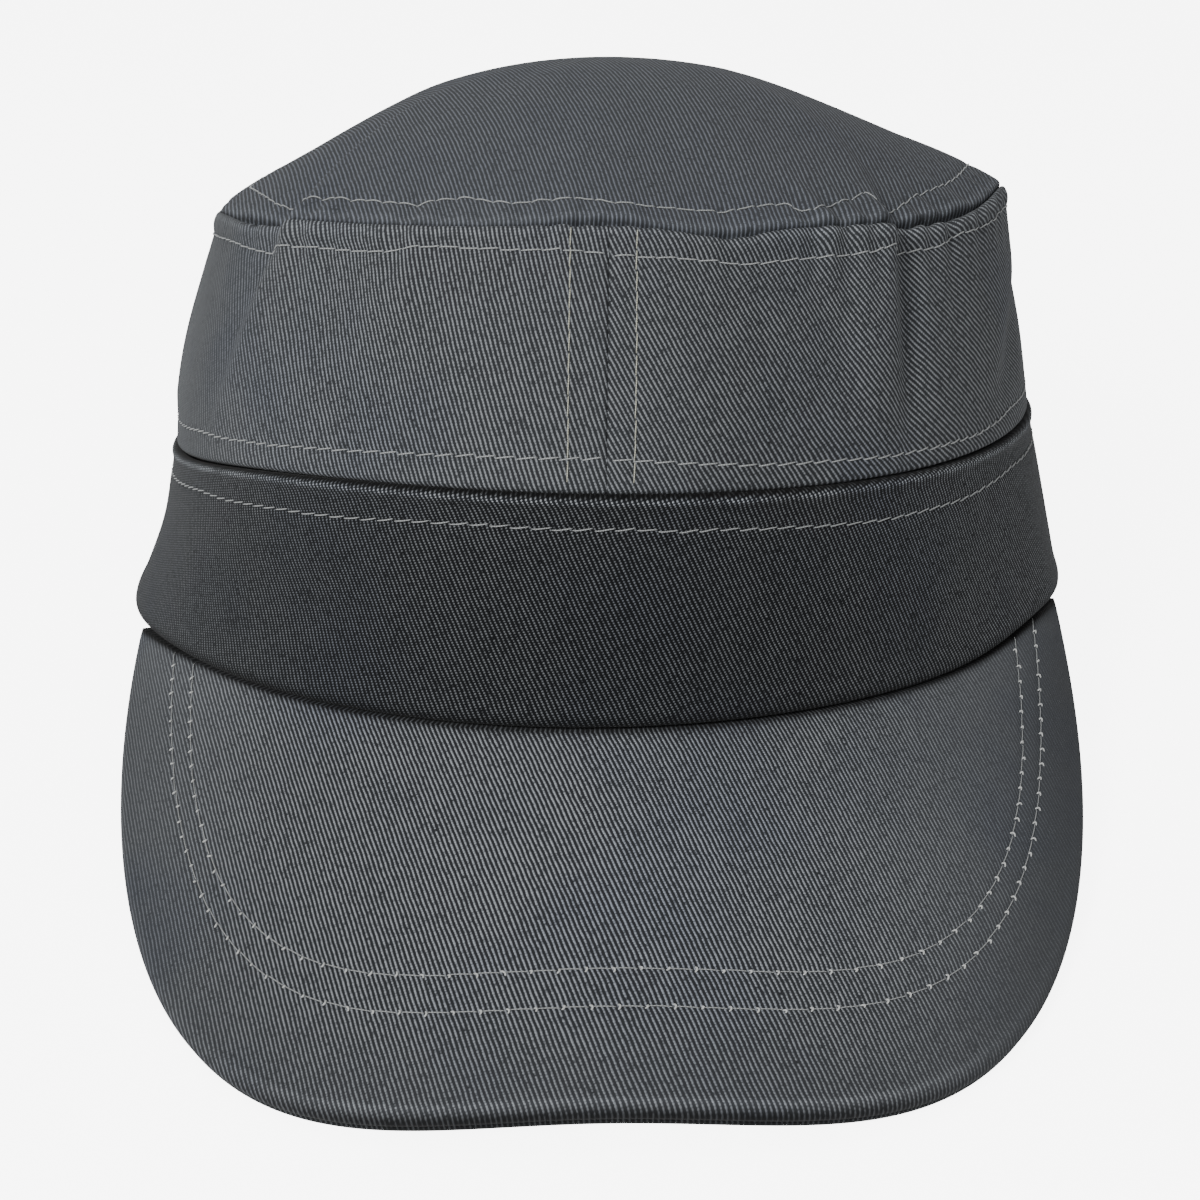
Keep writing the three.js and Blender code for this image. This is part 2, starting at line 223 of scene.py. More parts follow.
RIM_GATHERS = (Gather(67, 15, 2.4, 0.5), Gather(84, 16, 0.0, 0.3), Gather(-80, 16, -0.7, 0.9))
LOW_GATHERS = (Gather(-84, 36, -4.2, -0.1), Gather(84, 22, 0.0, 0.55))
TOP_GATHERS = (
    Gather(-82, 9, -0.7, 0.0),
    Gather(-2, 8, 0.6, 0.0),
    Gather(13, 7, -0.8, 0.2),
    Gather(56, 8, -0.5, 0.2),
    Gather(65, 15, 2.7, 0.4),
)

# A stretch round the head: its place and width in degrees, and its strength
Stretch = namedtuple("Stretch", "angle width strength")

# Where the top seam is puckered, and where it is pulled open
PUCKERED = (Stretch(42, 18, 1.0), Stretch(14, 12, 0.6), Stretch(-30, 26, 0.4), Stretch(180, 90, 0.4))
OPENED = (
    Stretch(-1, 6, 1.2),
    Stretch(15, 4, 1.0),
    Stretch(28, 5, 0.35),
    Stretch(45, 9, 1.5),
    Stretch(-54, 5, 1.4),
)
OPENED_WIDTH = 0.45 * MM
OPENED_DEPTH = 1.0 * MM
PUCKER_HEIGHT = 0.7 * MM
PUCKER_REACH = 6.0 * MM

# Painted light and shade round the head: what each stretch adds to the cloth's brightness, as a share of
# it, and hazy places, where the twill's contrast is lower by that share
BAND_PAINTED_LIGHT = (Stretch(45, 18, 0.3), Stretch(78, 24, 0.35), Stretch(-50, 25, -0.1))
BAND_HAZE = (Stretch(-75, 30, 0.4), Stretch(80, 20, 0.2))
SIDE_PAINTED_LIGHT = (Stretch(15, 9, -0.17), Stretch(-62, 12, -0.24))
SIDE_HAZE = (Stretch(85, 25, 0.25), Stretch(-66, 18, 0.5))
SIDE_LEAST_HAZE = 0.1
CROWN_PAINTED_LIGHT = (Stretch(55, 35, -0.14),)
CROWN_HAZE = 0.15

# A strip along an edge, or a spot round a point: its distance from there and its width in millimetres,
# and its strength, in millimetres where it lifts the cloth and as a share of the brightness or haze else.
# The shines are painted highlights; the shades and the peak's dark edge are painted shade and shadow.
Strip = namedtuple("Strip", "place width strength")

RIM_SWELL = Strip(2.4, 2.2, 0.35)
RIM_SHADE = Strip(0.0, 1.6, -0.7)
BAND_HEAD_SWELL = Strip(0.7, 1.3, 0.65)
BAND_HEAD_SHINE = Strip(0.85, 0.45, 1.0)
BAND_HEAD_SHADE = Strip(0.0, 0.35, -0.9)
SIDE_HEAD_SWELL = Strip(2.2, 1.8, 0.45)
SIDE_HEAD_SHINE = Strip(1.2, 0.6, 0.3)
SIDE_FOOT_SHADE = Strip(0.0, 0.5, -0.9)
CROWN_EDGE_SHINE = Strip(1.2, 0.6, 0.25)
PEAK_EDGE_SWELL = Strip(1.6, 0.8, 0.15)
PEAK_EDGE_SHINE = Strip(1.7, 0.5, 0.4)
PEAK_EDGE_DARK = Strip(0.0, 0.7, -0.65)
PEAK_EDGE_SHADE = Strip(0.0, 14.0, -0.24)
PEAK_EDGE_HAZE = Strip(0.0, 12.0, 0.2)
PEAK_MIDDLE_SHINE = Strip(0.0, 32.0, 0.2)
PEAK_TUCK_SINK = Strip(0.0, 3.0, 0.3)
PEAK_TUCK_SHADE = Strip(0.0, 0.8, -0.8)
PEAK_TUCK_SHINE = Strip(0.0, 9.0, 0.12)

# How far in from each edge its rounding reaches, and how deep the rim and the peak's covers round off
RIM_ROUND = 1.2 * MM
RIM_DROP = 0.8 * MM
BAND_HEAD_ROUND = 0.9 * MM
SIDE_FOOT_ROUND = 1.1 * MM
SIDE_FOOT_GAP = 0.25 * MM
SIDE_HEAD_ROUND = 0.8 * MM
SIDE_END_ROUND = 0.4 * MM
SIDE_END_DROP = 0.35 * MM
CROWN_ROUND = 1.0 * MM
UPPER_COVER_ROUND = 1.3 * MM
LOWER_COVER_ROUND = 1.4 * MM
COVER_DROP = 1.2 * MM

# Thickness of the walls at their edges, and the powers with which the panels lean into the top seam
RIM_THICKNESS = 1.0 * MM
BAND_HEAD_THICKNESS = 0.3 * MM
EDGE_THICKNESS = 0.15 * MM
SIDE_MITRE_POWER = 40
CROWN_MITRE_POWER = 60

# Heights of the broad waves of worn cloth on the band, the side panels and the crown
BAND_WAVES = 0.35 * MM
SIDE_WAVES = 0.4 * MM
CROWN_WAVES = 0.5 * MM

# The twill as it lies on each piece: places round the head in degrees, or across the cap in millimetres,
# with the lean of the twill's lines from upright in degrees and their width as a share of the pitch
BAND_WEAVE = ((-180, 23.5, 1.0), (-70, 23.5, 1.15), (-40, 25.5, 1.05), (0, 23.5, 1.0), (35, 21.5, 1.03),
              (70, 21.5, 1.12), (180, 23.5, 1.0))
SIDE_WEAVE_RIGHT = ((-180, 19.5, 1.0), (-100, 19.5, 1.3), (-60, 19.5, 1.6), (-47, 21.0, 1.44),
                    (-30, 19.5, 1.03), (0, 18.5, 1.0))
SIDE_WEAVE_LEFT = ((0, 28.0, 0.96), (10, 28.0, 0.98), (22, 33.0, 1.02), (33, 42.0, 1.05), (46, 56.0, 1.13),
                   (70, 57.0, 1.3), (120, 30.0, 1.1), (180, 28.0, 1.0))
CROWN_WEAVE = ((-80, 9.0, 1.0), (-50, 12.0, 0.95), (-30, 13.3, 0.91), (0, 10.8, 1.0), (35, 7.8, 1.1),
               (80, 7.3, 1.18))
PEAK_WEAVE = ((-90, 18.0, 0.76), (-45, 18.0, 0.88), (0, 19.0, 1.05), (45, 17.5, 1.0), (90, 18.0, 1.1))

# How far in front of the middle of the head the lines of the crown and of the peak are measured from.
# The peak's colour is also painted lighter round there, as painted light.
CROWN_WEAVE_START = 60.0 * MM
PEAK_MIDDLE = 115.0 * MM

# Rows of stitches: places round the head in degrees and the distance from the seam there, in millimetres
BAND_ROW = (
    (-58, 5.2), (-51.9, 5.9), (-43.3, 6.1), (-33.6, 6.25), (-28, 6.2), (-23, 5.75), (-18, 5.6), (-13.5, 5.45),
    (-4.7, 5.6), (3.9, 5.4), (7.5, 5.9), (12.6, 5.75), (19.5, 6.15), (24.5, 6.55), (32.7, 7.0), (46.9, 6.95),
    (51.6, 6.7), (60.9, 5.3),
)
LOW_ROW = (
    (-60.6, 5.5), (-53.4, 5.05), (-44.3, 4.75), (-32.7, 5.0), (-23.3, 5.35), (-13.9, 5.85), (-5.1, 5.9),
    (-0.8, 6.15), (1.4, 5.95), (7.9, 5.4), (12.4, 5.0), (17, 4.5), (27, 4.25), (32.7, 3.8), (43.2, 3.55),
    (52.2, 3.55), (58.6, 4.3), (63, 5.0),
)
TOP_ROW = (
    (-58, 4.5), (-54.4, 5.0), (-47, 5.7), (-44, 4.2), (-38.5, 4.1), (-32.5, 4.3), (-27.4, 4.3), (-25.6, 3.85),
    (-23, 3.55), (-20.5, 3.4), (-15.6, 3.75), (-8.3, 4.2), (-3.5, 4.65), (-1.1, 5.1), (0.9, 5.3), (4.8, 4.95),
    (7.2, 4.5), (12.4, 4.2), (16.6, 5.0), (19.5, 5.1), (28.6, 4.85), (32.4, 4.45), (35, 3.6), (37.2, 5.2),
    (40.8, 4.85), (44.4, 4.8), (48.8, 3.5), (58, 4.0),
)
CROWN_ROW = (
    (-65.6, 6.3), (-58, 5.7), (-53.4, 4.9), (-46, 3.8), (-43.2, 4.3), (-40.9, 4.8), (-31.4, 5.2), (-28, 4.65),
    (-25.5, 4.85), (-23, 6.0), (-20.6, 6.8), (-17.8, 6.45), (-14.9, 5.5), (-13.5, 5.0), (-8.3, 5.75),
    (-4.4, 5.55), (-1.7, 5.15), (0.2, 4.65), (3.5, 4.7), (10, 5.25), (14.6, 5.1), (16.7, 5.4), (22.9, 5.3),
    (24.2, 3.85), (26, 3.2), (28.9, 4.5), (32.3, 5.5), (35.2, 6.4), (36.5, 3.6), (39, 3.5), (45.8, 6.0),
    (53.8, 6.4),
)

# The angles from the front at which rows on the side panels start and end
ROW_START = 0.5
ROW_END = 179.5

# How far sideways a stitch runs: over and under the band's seam, at the crown's, beside the front and
# back seams, and on the peak
WIDE_SLANT = -0.45 * MM
SLIGHT_SLANT = -0.25 * MM
FRONT_SLANT = 0.12 * MM
PEAK_SLANT = 0.1 * MM

# The threads of the front and back seams, of the peak and of its knots, as shares of the thread radius
FRONT_THREAD = 0.85
PEAK_THREAD = 0.7
KNOT_THREAD = 1.35

# The widths of the grooves of rows on the seams and on the peak
SEAM_GROOVE = 0.75 * MM
PEAK_GROOVE = 0.7 * MM

# The rim or a seam round the head: half its width, its reach to the front and back, its middle, how far
# it rises at the sides and twists, how far its front corners stand out, and its gathers
Ring = namedtuple("Ring", "half front back x y z rise twist corner gathers")

# A bow in plan: its middle's x, half its width, the y of its ends and tip, and its powers at the sides
# and in front
Bow = namedtuple("Bow", "x half end_y tip_y side_power front_power")

# The outer and the inner row of stitches on the peak
PEAK_STITCHES = (
    Bow(0.95 * MM, 80.5 * MM, -16.8 * MM, -141.3 * MM, 3.81, 1.75),
    Bow(0.95 * MM, 74.9 * MM, -30.1 * MM, -135.3 * MM, 3.82, 1.98),
)

# How many points draw a row on the peak, how much closer they lie in front, how far round the bow it
# runs in radians, and how deep it sinks as a share of the other rows
PEAK_ROW_POINTS = 4000
PEAK_ROW_CROWDING = 1.7
PEAK_ROW_REACH = 1.5
PEAK_ROW_SINK = 0.7


# Plain helpers

def bell(x):
    """A bell of height 1 at zero."""
    return np.exp(-np.square(x))


def apart(a, b):
    """The difference of two angles in degrees, between -180 and 180."""
    return (a - b + HALF_TURN) % FULL_TURN - HALF_TURN


def outwards(angle):
    """The level unit vector that points away from the head at an angle in degrees."""
    a = np.radians(angle)
    return np.stack([np.sin(a), -np.cos(a), np.zeros_like(a)], axis=-1)


def strength_along(stretches, angle):
    """The summed bells of a table of stretches."""
    return sum(s.strength * bell(apart(angle, s.angle) / s.width) for s in stretches)


def strip_at(strip, distance):
    """A bell along an edge: the strip's strength, fading with the distance from the strip's place."""
    return strip.strength * bell((distance - strip.place * MM) / (strip.width * MM))


def beyond(x, edge, width):
    """A soft step from 0 to 1 as x passes the edge: one over one plus the exponential of their
    difference over the width. The edge and the width are in millimetres."""
    return 1.0 / (1.0 + np.exp((edge * MM - x) / (width * MM)))


def seam_depth_at(s, angle):
    """How far the top seam is pulled open, and the depth of its groove there."""
    opened = np.clip(strength_along(OPENED, angle) * (1.0 + 0.3 * waves(angle, 60, 150, 8, 61)), 0.0, 1.6)
    return OPENED_WIDTH * opened, s.seam_depth + OPENED_DEPTH * opened


def row_at(row, angle):
    """The distance of a row of stitches from its seam, with straight lines between the table's places."""
    places, insets = np.array(row).T
    return np.interp(angle, places, insets * MM)


def waves(angle, lowest, highest, count, seed):
    """A wavy line round the head: a sum of sines with whole numbers of waves and seeded phases."""
    rng = np.random.default_rng(seed)
    numbers = rng.integers(lowest, highest, count)
    phases = rng.uniform(0.0, 2.0 * np.pi, count)
    total = sum(np.sin(np.radians(angle) * n + p) for n, p in zip(numbers, phases))
    return total / math.sqrt(count)


def spaced(count, crowding):
    """Shares from 0 to 1 that lie closer together at both ends: t less a sine of it."""
    t = np.linspace(0.0, 1.0, count)
    return t - crowding * np.sin(2.0 * np.pi * t) / (2.0 * np.pi)


def edge_drop(distance, radius, depth):
    """A quarter-round drop: depth at the seam and nothing beyond the radius."""
    t = np.clip(1.0 - distance / radius, 0.0, 1.0)
    return -depth * (1.0 - np.sqrt(1.0 - t * t))


# The cap's own frame

def cap_rings(s):
    """The rim and the two seams round the head, from the sizes."""
    low_reach, top_reach = s.low_seam_length / 2, s.top_seam_length / 2
    top_height = s.band_height + s.side_height
    rim = Ring(s.rim_width / 2, s.rim_front, s.rim_back, 0.0, 0.0, 0.0,
               s.rim_side_rise, 0.0, 0.0, RIM_GATHERS)
    low = Ring(s.low_seam_width / 2, low_reach, low_reach, s.low_seam_x, s.low_seam_y, s.band_height,
               -s.low_seam_dip, -s.low_seam_twist, 0.0, LOW_GATHERS)
    top = Ring(s.top_seam_width / 2, top_reach, top_reach, s.top_seam_x, s.top_seam_y, top_height,
               -s.top_seam_dip, -s.top_seam_twist, s.top_seam_corner, TOP_GATHERS)
    return rim, low, top


def ring_point(s, ring, angle):
    """An egg-shaped oval: x is half the width times the sine, narrower in front, and y the reach times
    the cosine. Its height rises with the sine squared and twists with the sine of twice the angle. Its
    front corners stand out with the squared sine of twice the angle, and gathers lift and push it."""
    a = np.radians(angle)
    reach = np.where(np.cos(a) > 0, ring.front, ring.back)
    x = ring.x + ring.half * np.sin(a) * (1.0 - s.head_taper * np.cos(a))
    y = ring.y - reach * np.cos(a)
    z = ring.z + ring.rise * np.sin(a) ** 2 + ring.twist * np.sin(2.0 * a)
    cornered = np.where(np.cos(a) > 0, np.sin(2.0 * a) ** 2, 0.0)
    point = np.stack([x, y, z], axis=-1) + (ring.corner * cornered)[..., None] * outwards(angle)
    for gather in ring.gathers:
        strength = s.gather_depth * bell(apart(angle, gather.angle) / gather.width)
        point = point + (gather.push * strength)[..., None] * outwards(angle)
        point[..., 2] += gather.lift * strength
    return point


def fold_relief(s, folds, angle, share):
    """The summed folds: each a bell across, whose middle leans, and a sine squared along."""
    relief = np.zeros(np.broadcast(angle, share).shape)
    for fold in folds:
        along = np.clip((share - fold.foot) / (fold.head - fold.foot), 0.0, 1.0)
        middle = fold.foot_angle + (fold.head_angle - fold.foot_angle) * along
        across = bell(apart(angle, middle) / fold.width)
        relief += fold.depth * s.fold_depth * np.sin(np.pi * along) ** 2 * across
    return relief


def crease_push(s, angle, away, on_crown):
    """The summed creases: each a rounded step across, which comes back with distance and fades with the
    way from the top seam."""
    push = np.zeros(np.broadcast(angle, away).shape)
    for crease in CREASES:
        far_angle = crease.crown_angle if on_crown else crease.side_angle
        beside = apart(angle, crease.seam_angle + (far_angle - crease.seam_angle) * away)
        fade = (1.0 - away) ** (CROWN_CREASE_FADE if on_crown else crease.side_fade)
        step = np.tanh(beside / crease.sharpness) * np.exp(-np.abs(beside) / crease.reach)
        push += crease.depth * s.fold_depth * fade * step
    return push


def rim_angle_at(s, x):
    """The angle round the rim at which it has a given x, by trying again from the last guess."""
    rim = cap_rings(s)[0]
    a = np.zeros_like(x)
    for _ in range(12):
        a = np.arcsin(np.clip(x / (rim.half * (1.0 - s.head_taper * np.cos(a))), -0.9999, 0.9999))
    return np.degrees(a)


def peak_height(s, x, y):
    """The peak's upper face: straight lines fall forward from the rim's edge at the peak's slope, and
    the rim's rises die out along them."""
    edge = ring_point(s, cap_rings(s)[0], rim_angle_at(s, x))
    ahead = edge[..., 1] - y
    rise = edge[..., 2] * np.exp(-np.maximum(ahead, 0.0) / s.peak_rise_reach)
    return rise - s.seam_gap - math.tan(s.peak_slope) * ahead


def peak_normal(s, x, y):
    """The peak's upward normal, from two short steps along its surface."""
    step = 0.5 * MM
    slope_x = (peak_height(s, x + step, y) - peak_height(s, x - step, y)) / (2.0 * step)
    slope_y = (peak_height(s, x, y) - peak_height(s, x, y - step)) / step
    normal = np.stack([-slope_x, -slope_y, np.ones_like(x)], axis=-1)
    return normal / np.linalg.norm(normal, axis=-1, keepdims=True)


def peak_bow(s):
    """The peak's outline in plan: half its width, and the y of its ends and of its tip."""
    end = ring_point(s, cap_rings(s)[0], np.array(s.peak_end_angle))
    tip = -s.rim_front - s.peak_length * math.cos(s.peak_slope)
    return Bow(0.0, end[0], end[1] - s.peak_end_depth, tip, s.peak_side_fullness, s.peak_front_fullness)


def bow_point(bow, a):
    """A superellipse: x grows with a power of the sine and y with a power of the cosine of a."""
    x = bow.x + bow.half * np.sign(a) * np.abs(np.sin(a)) ** (2.0 / bow.side_power)
    y = bow.end_y + (bow.tip_y - bow.end_y) * np.clip(np.cos(a), 0.0, 1.0) ** (2.0 / bow.front_power)
    return x, y


def bow_inset(bow, x, y):
    """The distance in from a superellipse, as its equation's value over its slope."""
    p, q = bow.side_power, bow.front_power
    across = np.abs(x - bow.x) / bow.half
    along = np.clip((bow.end_y - y) / (bow.end_y - bow.tip_y), 0.0, None)
    slope_x = p * across ** (p - 1.0) / bow.half
    slope_y = q * along ** (q - 1.0) / (bow.end_y - bow.tip_y)
    slope = np.maximum(np.hypot(slope_x, slope_y), 0.2 / bow.half)
    return (1.0 - across ** p - along ** q) / slope


def rest_tilt(s):
    """How far the cap tips back: the steepest line from the heel of the rim to the peak's underside."""
    bow = peak_bow(s)
    x, y = bow_point(bow, np.linspace(-0.5, 0.5, 181) * np.pi)
    toe = np.stack([x, y, peak_height(s, x, y)], axis=-1)
    toe = toe - peak_normal(s, x, y) * (2.0 * s.cover_wall + s.seam_gap)
    return float(np.max(np.arctan2(-toe[:, 2], s.rim_back - toe[:, 1])))


def standing(s):
    """The matrix from the cap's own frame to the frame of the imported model: tipped back about X, with
    the pressed cloth at height zero and the band's seam behind where the band's node has it."""
    tilt = rest_tilt(s)
    turned = Matrix.Rotation(-tilt, 4, "X")
    seam_back = turned @ Vector(ring_point(s, cap_rings(s)[1], np.array(HALF_TURN)))
    heel = turned @ Vector((0.0, s.rim_back, 0.0))
    shift = Vector((s.stand_shift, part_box("band")[1][1] - seam_back.y, -heel.z - s.press_depth))
    return Matrix.Translation(shift) @ turned


def stand(s, points):
    """Points of the cap's own frame carried to the table. What would sink into it is pressed flat."""
    m = np.array(standing(s))
    placed = points @ m[:3, :3].T + m[:3, 3]
    placed[..., 2] = np.maximum(placed[..., 2], 0.0)
    return placed


# Meshes

def grid_normals(points):
    """Unit normals of a grid of points: the cross product of its steps along columns and rows."""
    across = np.gradient(points, axis=1)
    up = np.gradient(points, axis=0)
    normal = np.cross(across, up)
    return normal / np.maximum(np.linalg.norm(normal, axis=-1, keepdims=True), 1e-12)


def make_object(name, points, corners, sizes, corner_uv, material, replaced=(), marks=None):
    """A mesh object from vertex positions, face corners, corners per face, a UV for each corner and, for
    cloth, the marks of painted light and shade and of haze at each vertex."""
    mesh = bpy.data.meshes.new(name)
    mesh.vertices.add(len(points))
    mesh.vertices.foreach_set("co", points.astype(np.float32).ravel())
    mesh.loops.add(len(corners))
    mesh.loops.foreach_set("vertex_index", corners.astype(np.int32))
    mesh.polygons.add(len(sizes))
    starts = np.concatenate([[0], np.cumsum(sizes)[:-1]])
    mesh.polygons.foreach_set("loop_start", starts.astype(np.int32))
    mesh.polygons.foreach_set("loop_total", sizes.astype(np.int32))
    mesh.update(calc_edges=True)
    layer = mesh.uv_layers.new(name="cloth")
    layer.data.foreach_set("uv", corner_uv.astype(np.float32).ravel())
    for mark, values in (marks or {}).items():
        attribute = mesh.attributes.new(name=mark, type="FLOAT", domain="POINT")
        attribute.data.foreach_set("value", values.astype(np.float32))
    mesh.validate()
    mesh.shade_smooth()
    mesh.materials.append(material)
    piece = bpy.data.objects.new(name, mesh)
    bpy.context.scene.collection.objects.link(piece)
    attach(piece, BODY)
    if replaced:
        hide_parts(*replaced)
    return piece


def quads(lower, upper):
    """Quads between two rows of numbers: this and the next of the lower row, then of the upper row."""
    faces = np.stack([lower[..., :-1], lower[..., 1:], upper[..., 1:], upper[..., :-1]], axis=-1)
    return faces.reshape(-1, 4)


def wall_object(s, name, outer, inner, outer_uv, inner_uv, marks, material, replaced,
                wraps=False, pole=None):
    """A closed wall between an outer and an inner grid, whose rows run from foot to head. The columns
    go once round, and where the wall wraps, the last column is the first one again. A pole closes the
    head over its middle. Each mark, the painted light and shade and the haze, comes as two grids or
    numbers, for the outer and inner face."""
    rows_out, columns = outer.shape[:2]
    rows_in = inner.shape[0]
    kept = columns - 1 if wraps else columns
    points = [outer[:, :kept].reshape(-1, 3), inner[:, :kept].reshape(-1, 3)]
    uv = [outer_uv.reshape(-1, 2), inner_uv.reshape(-1, 2)]

    def numbers(rows, width, start):
        return start + np.arange(rows)[:, None] * width + (np.arange(columns)[None, :] % width)

    out_v = numbers(rows_out, kept, 0)
    in_v = numbers(rows_in, kept, rows_out * kept)
    out_t = numbers(rows_out, columns, 0)
    in_t = numbers(rows_in, columns, rows_out * columns)
    vertex_quads, uv_quads = [], []

    def add(lower_v, upper_v, lower_t, upper_t):
        vertex_quads.append(quads(lower_v, upper_v))
        uv_quads.append(quads(lower_t, upper_t))

    add(out_v[:-1], out_v[1:], out_t[:-1], out_t[1:])
    add(in_v[1:], in_v[:-1], in_t[1:], in_t[:-1])
    add(in_v[0], out_v[0], in_t[0], out_t[0])
    if pole is None:
        add(out_v[-1], in_v[-1], out_t[-1], in_t[-1])
    ends = []
    if not wraps:
        match = np.round(np.linspace(0, rows_in - 1, rows_out)).astype(int)
        for column, flip in ((0, False), (columns - 1, True)):
            ends.append((end_strip(out_v[:, column], in_v[:, column], match, flip),
                         end_strip(out_t[:, column], in_t[:, column], match, flip)))
    corners = [np.concatenate(vertex_quads).ravel()]
    texture = [np.concatenate(uv_quads).ravel()]
    sizes = [np.full(len(corners[0]) // 4, 4)]
    for side_v, side_t in ends:
        corners.append(side_v.ravel())
        texture.append(side_t.ravel())
        sizes.append(np.full(len(side_v), 3))
    if pole is not None:
        middle = len(points[0]) + len(points[1])
        middle_t = len(uv[0]) + len(uv[1])
        points.append(pole[0])
        uv.append(pole[1])
        heads = ((0, out_v[-1], out_t[-1], (0, 1)), (1, in_v[-1], in_t[-1], (1, 0)))
        for number, head_v, head_t, order in heads:
            ends_v = np.stack([head_v[:-1], head_v[1:]], axis=-1)[:, order]
            ends_t = np.stack([head_t[:-1], head_t[1:]], axis=-1)[:, order]
            fan_v = np.insert(ends_v, 2, middle + number, axis=1)
            fan_t = np.insert(ends_t, 2, middle_t + number, axis=1)
            corners.append(fan_v.ravel())
            texture.append(fan_t.ravel())
            sizes.append(np.full(len(fan_v), 3))
    placed = stand(s, np.concatenate(points))
    corner_uv = np.concatenate(uv)[np.concatenate(texture)]
    marked = {}
    for mark, faces in marks.items():
        values = np.concatenate([np.broadcast_to(face, grid.shape[:2])[:, :kept].ravel()
                                 for face, grid in zip(faces, (outer, inner))])
        marked[mark] = np.zeros(len(placed))
        marked[mark][:len(values)] = values
    return make_object(name, placed, np.concatenate(corners), np.concatenate(sizes), corner_uv,
                       material, replaced, marked)


def end_strip(outer, inner, match, flip):
    """The wall's end as triangles: one stands on each step of the outer rows, with its tip at the inner
    row that matches, and one on each step between two inner rows."""
    on_outer = np.stack([inner[match[:-1]], outer[:-1], outer[1:]], axis=-1)
    on_inner = np.stack([inner[match[:-1]], outer[1:], inner[match[1:]]], axis=-1)
    strip = np.concatenate([on_outer, on_inner[match[1:] > match[:-1]]])
    return strip[:, ::-1] if flip else strip


class Cloth:
    """A finished outer face, kept as a grid so that stitches can be laid on it."""

    def __init__(self, angles, shares, points):
        self.angles, self.shares, self.points = angles, shares, points
        self.normals = grid_normals(points)

    def at(self, angle, share):
        """Position and normal at places of the grid, by mixing the four points round each."""
        column = np.interp(angle, self.angles, np.arange(len(self.angles)))
        row = np.interp(share, self.shares, np.arange(len(self.shares)))
        c = np.minimum(column.astype(int), len(self.angles) - 2)
        r = np.minimum(row.astype(int), len(self.shares) - 2)
        fc, fr = (column - c)[..., None], (row - r)[..., None]

        def mixed(grid):
            low = grid[r, c] * (1 - fc) + grid[r, c + 1] * fc
            high = grid[r + 1, c] * (1 - fc) + grid[r + 1, c + 1] * fc
            return low * (1 - fr) + high * fr

        normal = mixed(self.normals)
        return mixed(self.points), normal / np.linalg.norm(normal, axis=-1, keepdims=True)


CLOTHS = {}


def woven_uv(line, places, across, up, weave):
    """Cloth coordinates: U counts across the twill's lines and V along them, by the sum of the small
    steps across times the cosine and sine of the lean. The weave's table gives, for places along the
    panel, the lean of the lines from upright in degrees and how much wider than normal they lie."""
    table = np.array(weave, dtype=float)
    lean = np.radians(np.interp(places, table[:, 0], table[:, 1]))
    width = np.interp(places, table[:, 0], table[:, 2])

    def summed(rate):
        return np.concatenate([[0.0], np.cumsum(np.diff(line) * (rate[:-1] + rate[1:]) / 2.0)])

    here, wide = np.interp(across, line, lean), np.interp(across, line, width)
    u = np.interp(across, line, summed(np.cos(lean) / width)) + up * np.sin(here) / wide
    v = up * np.cos(here) - np.interp(across, line, summed(np.sin(lean)))
    return np.stack([u, v], axis=-1)


def along_panel(points):
    """The distance along the middle row of a grid, for each column."""
    row = points[len(points) // 2]
    steps = np.linalg.norm(np.diff(row, axis=0), axis=-1)
    return np.concatenate([[0.0], np.cumsum(steps)])


def scallops(distance_along, s):
    """The pull of each stitch on the cloth round it: a wave with one beat for each stitch."""
    return 0.7 + 0.3 * np.cos(2.0 * np.pi * distance_along / s.stitch_length)


def row_groove(s, distance, inset, along):
    """The groove of a row of stitches, which pulls the cloth in at one distance from the seam."""
    return -s.row_sink * bell((distance - inset) / SEAM_GROOVE) * scallops(along, s)


def soft_relief(angle, share, depth, seed):
    """Broad soft waves of worn cloth: two sums of sines round the head, mixed up the panel."""
    low = waves(angle, 5, 17, 6, seed)
    high = waves(angle, 5, 17, 6, seed + 1)
    return depth * (low * (1.0 - share) + high * share) * np.sin(np.pi * share)


# Pieces

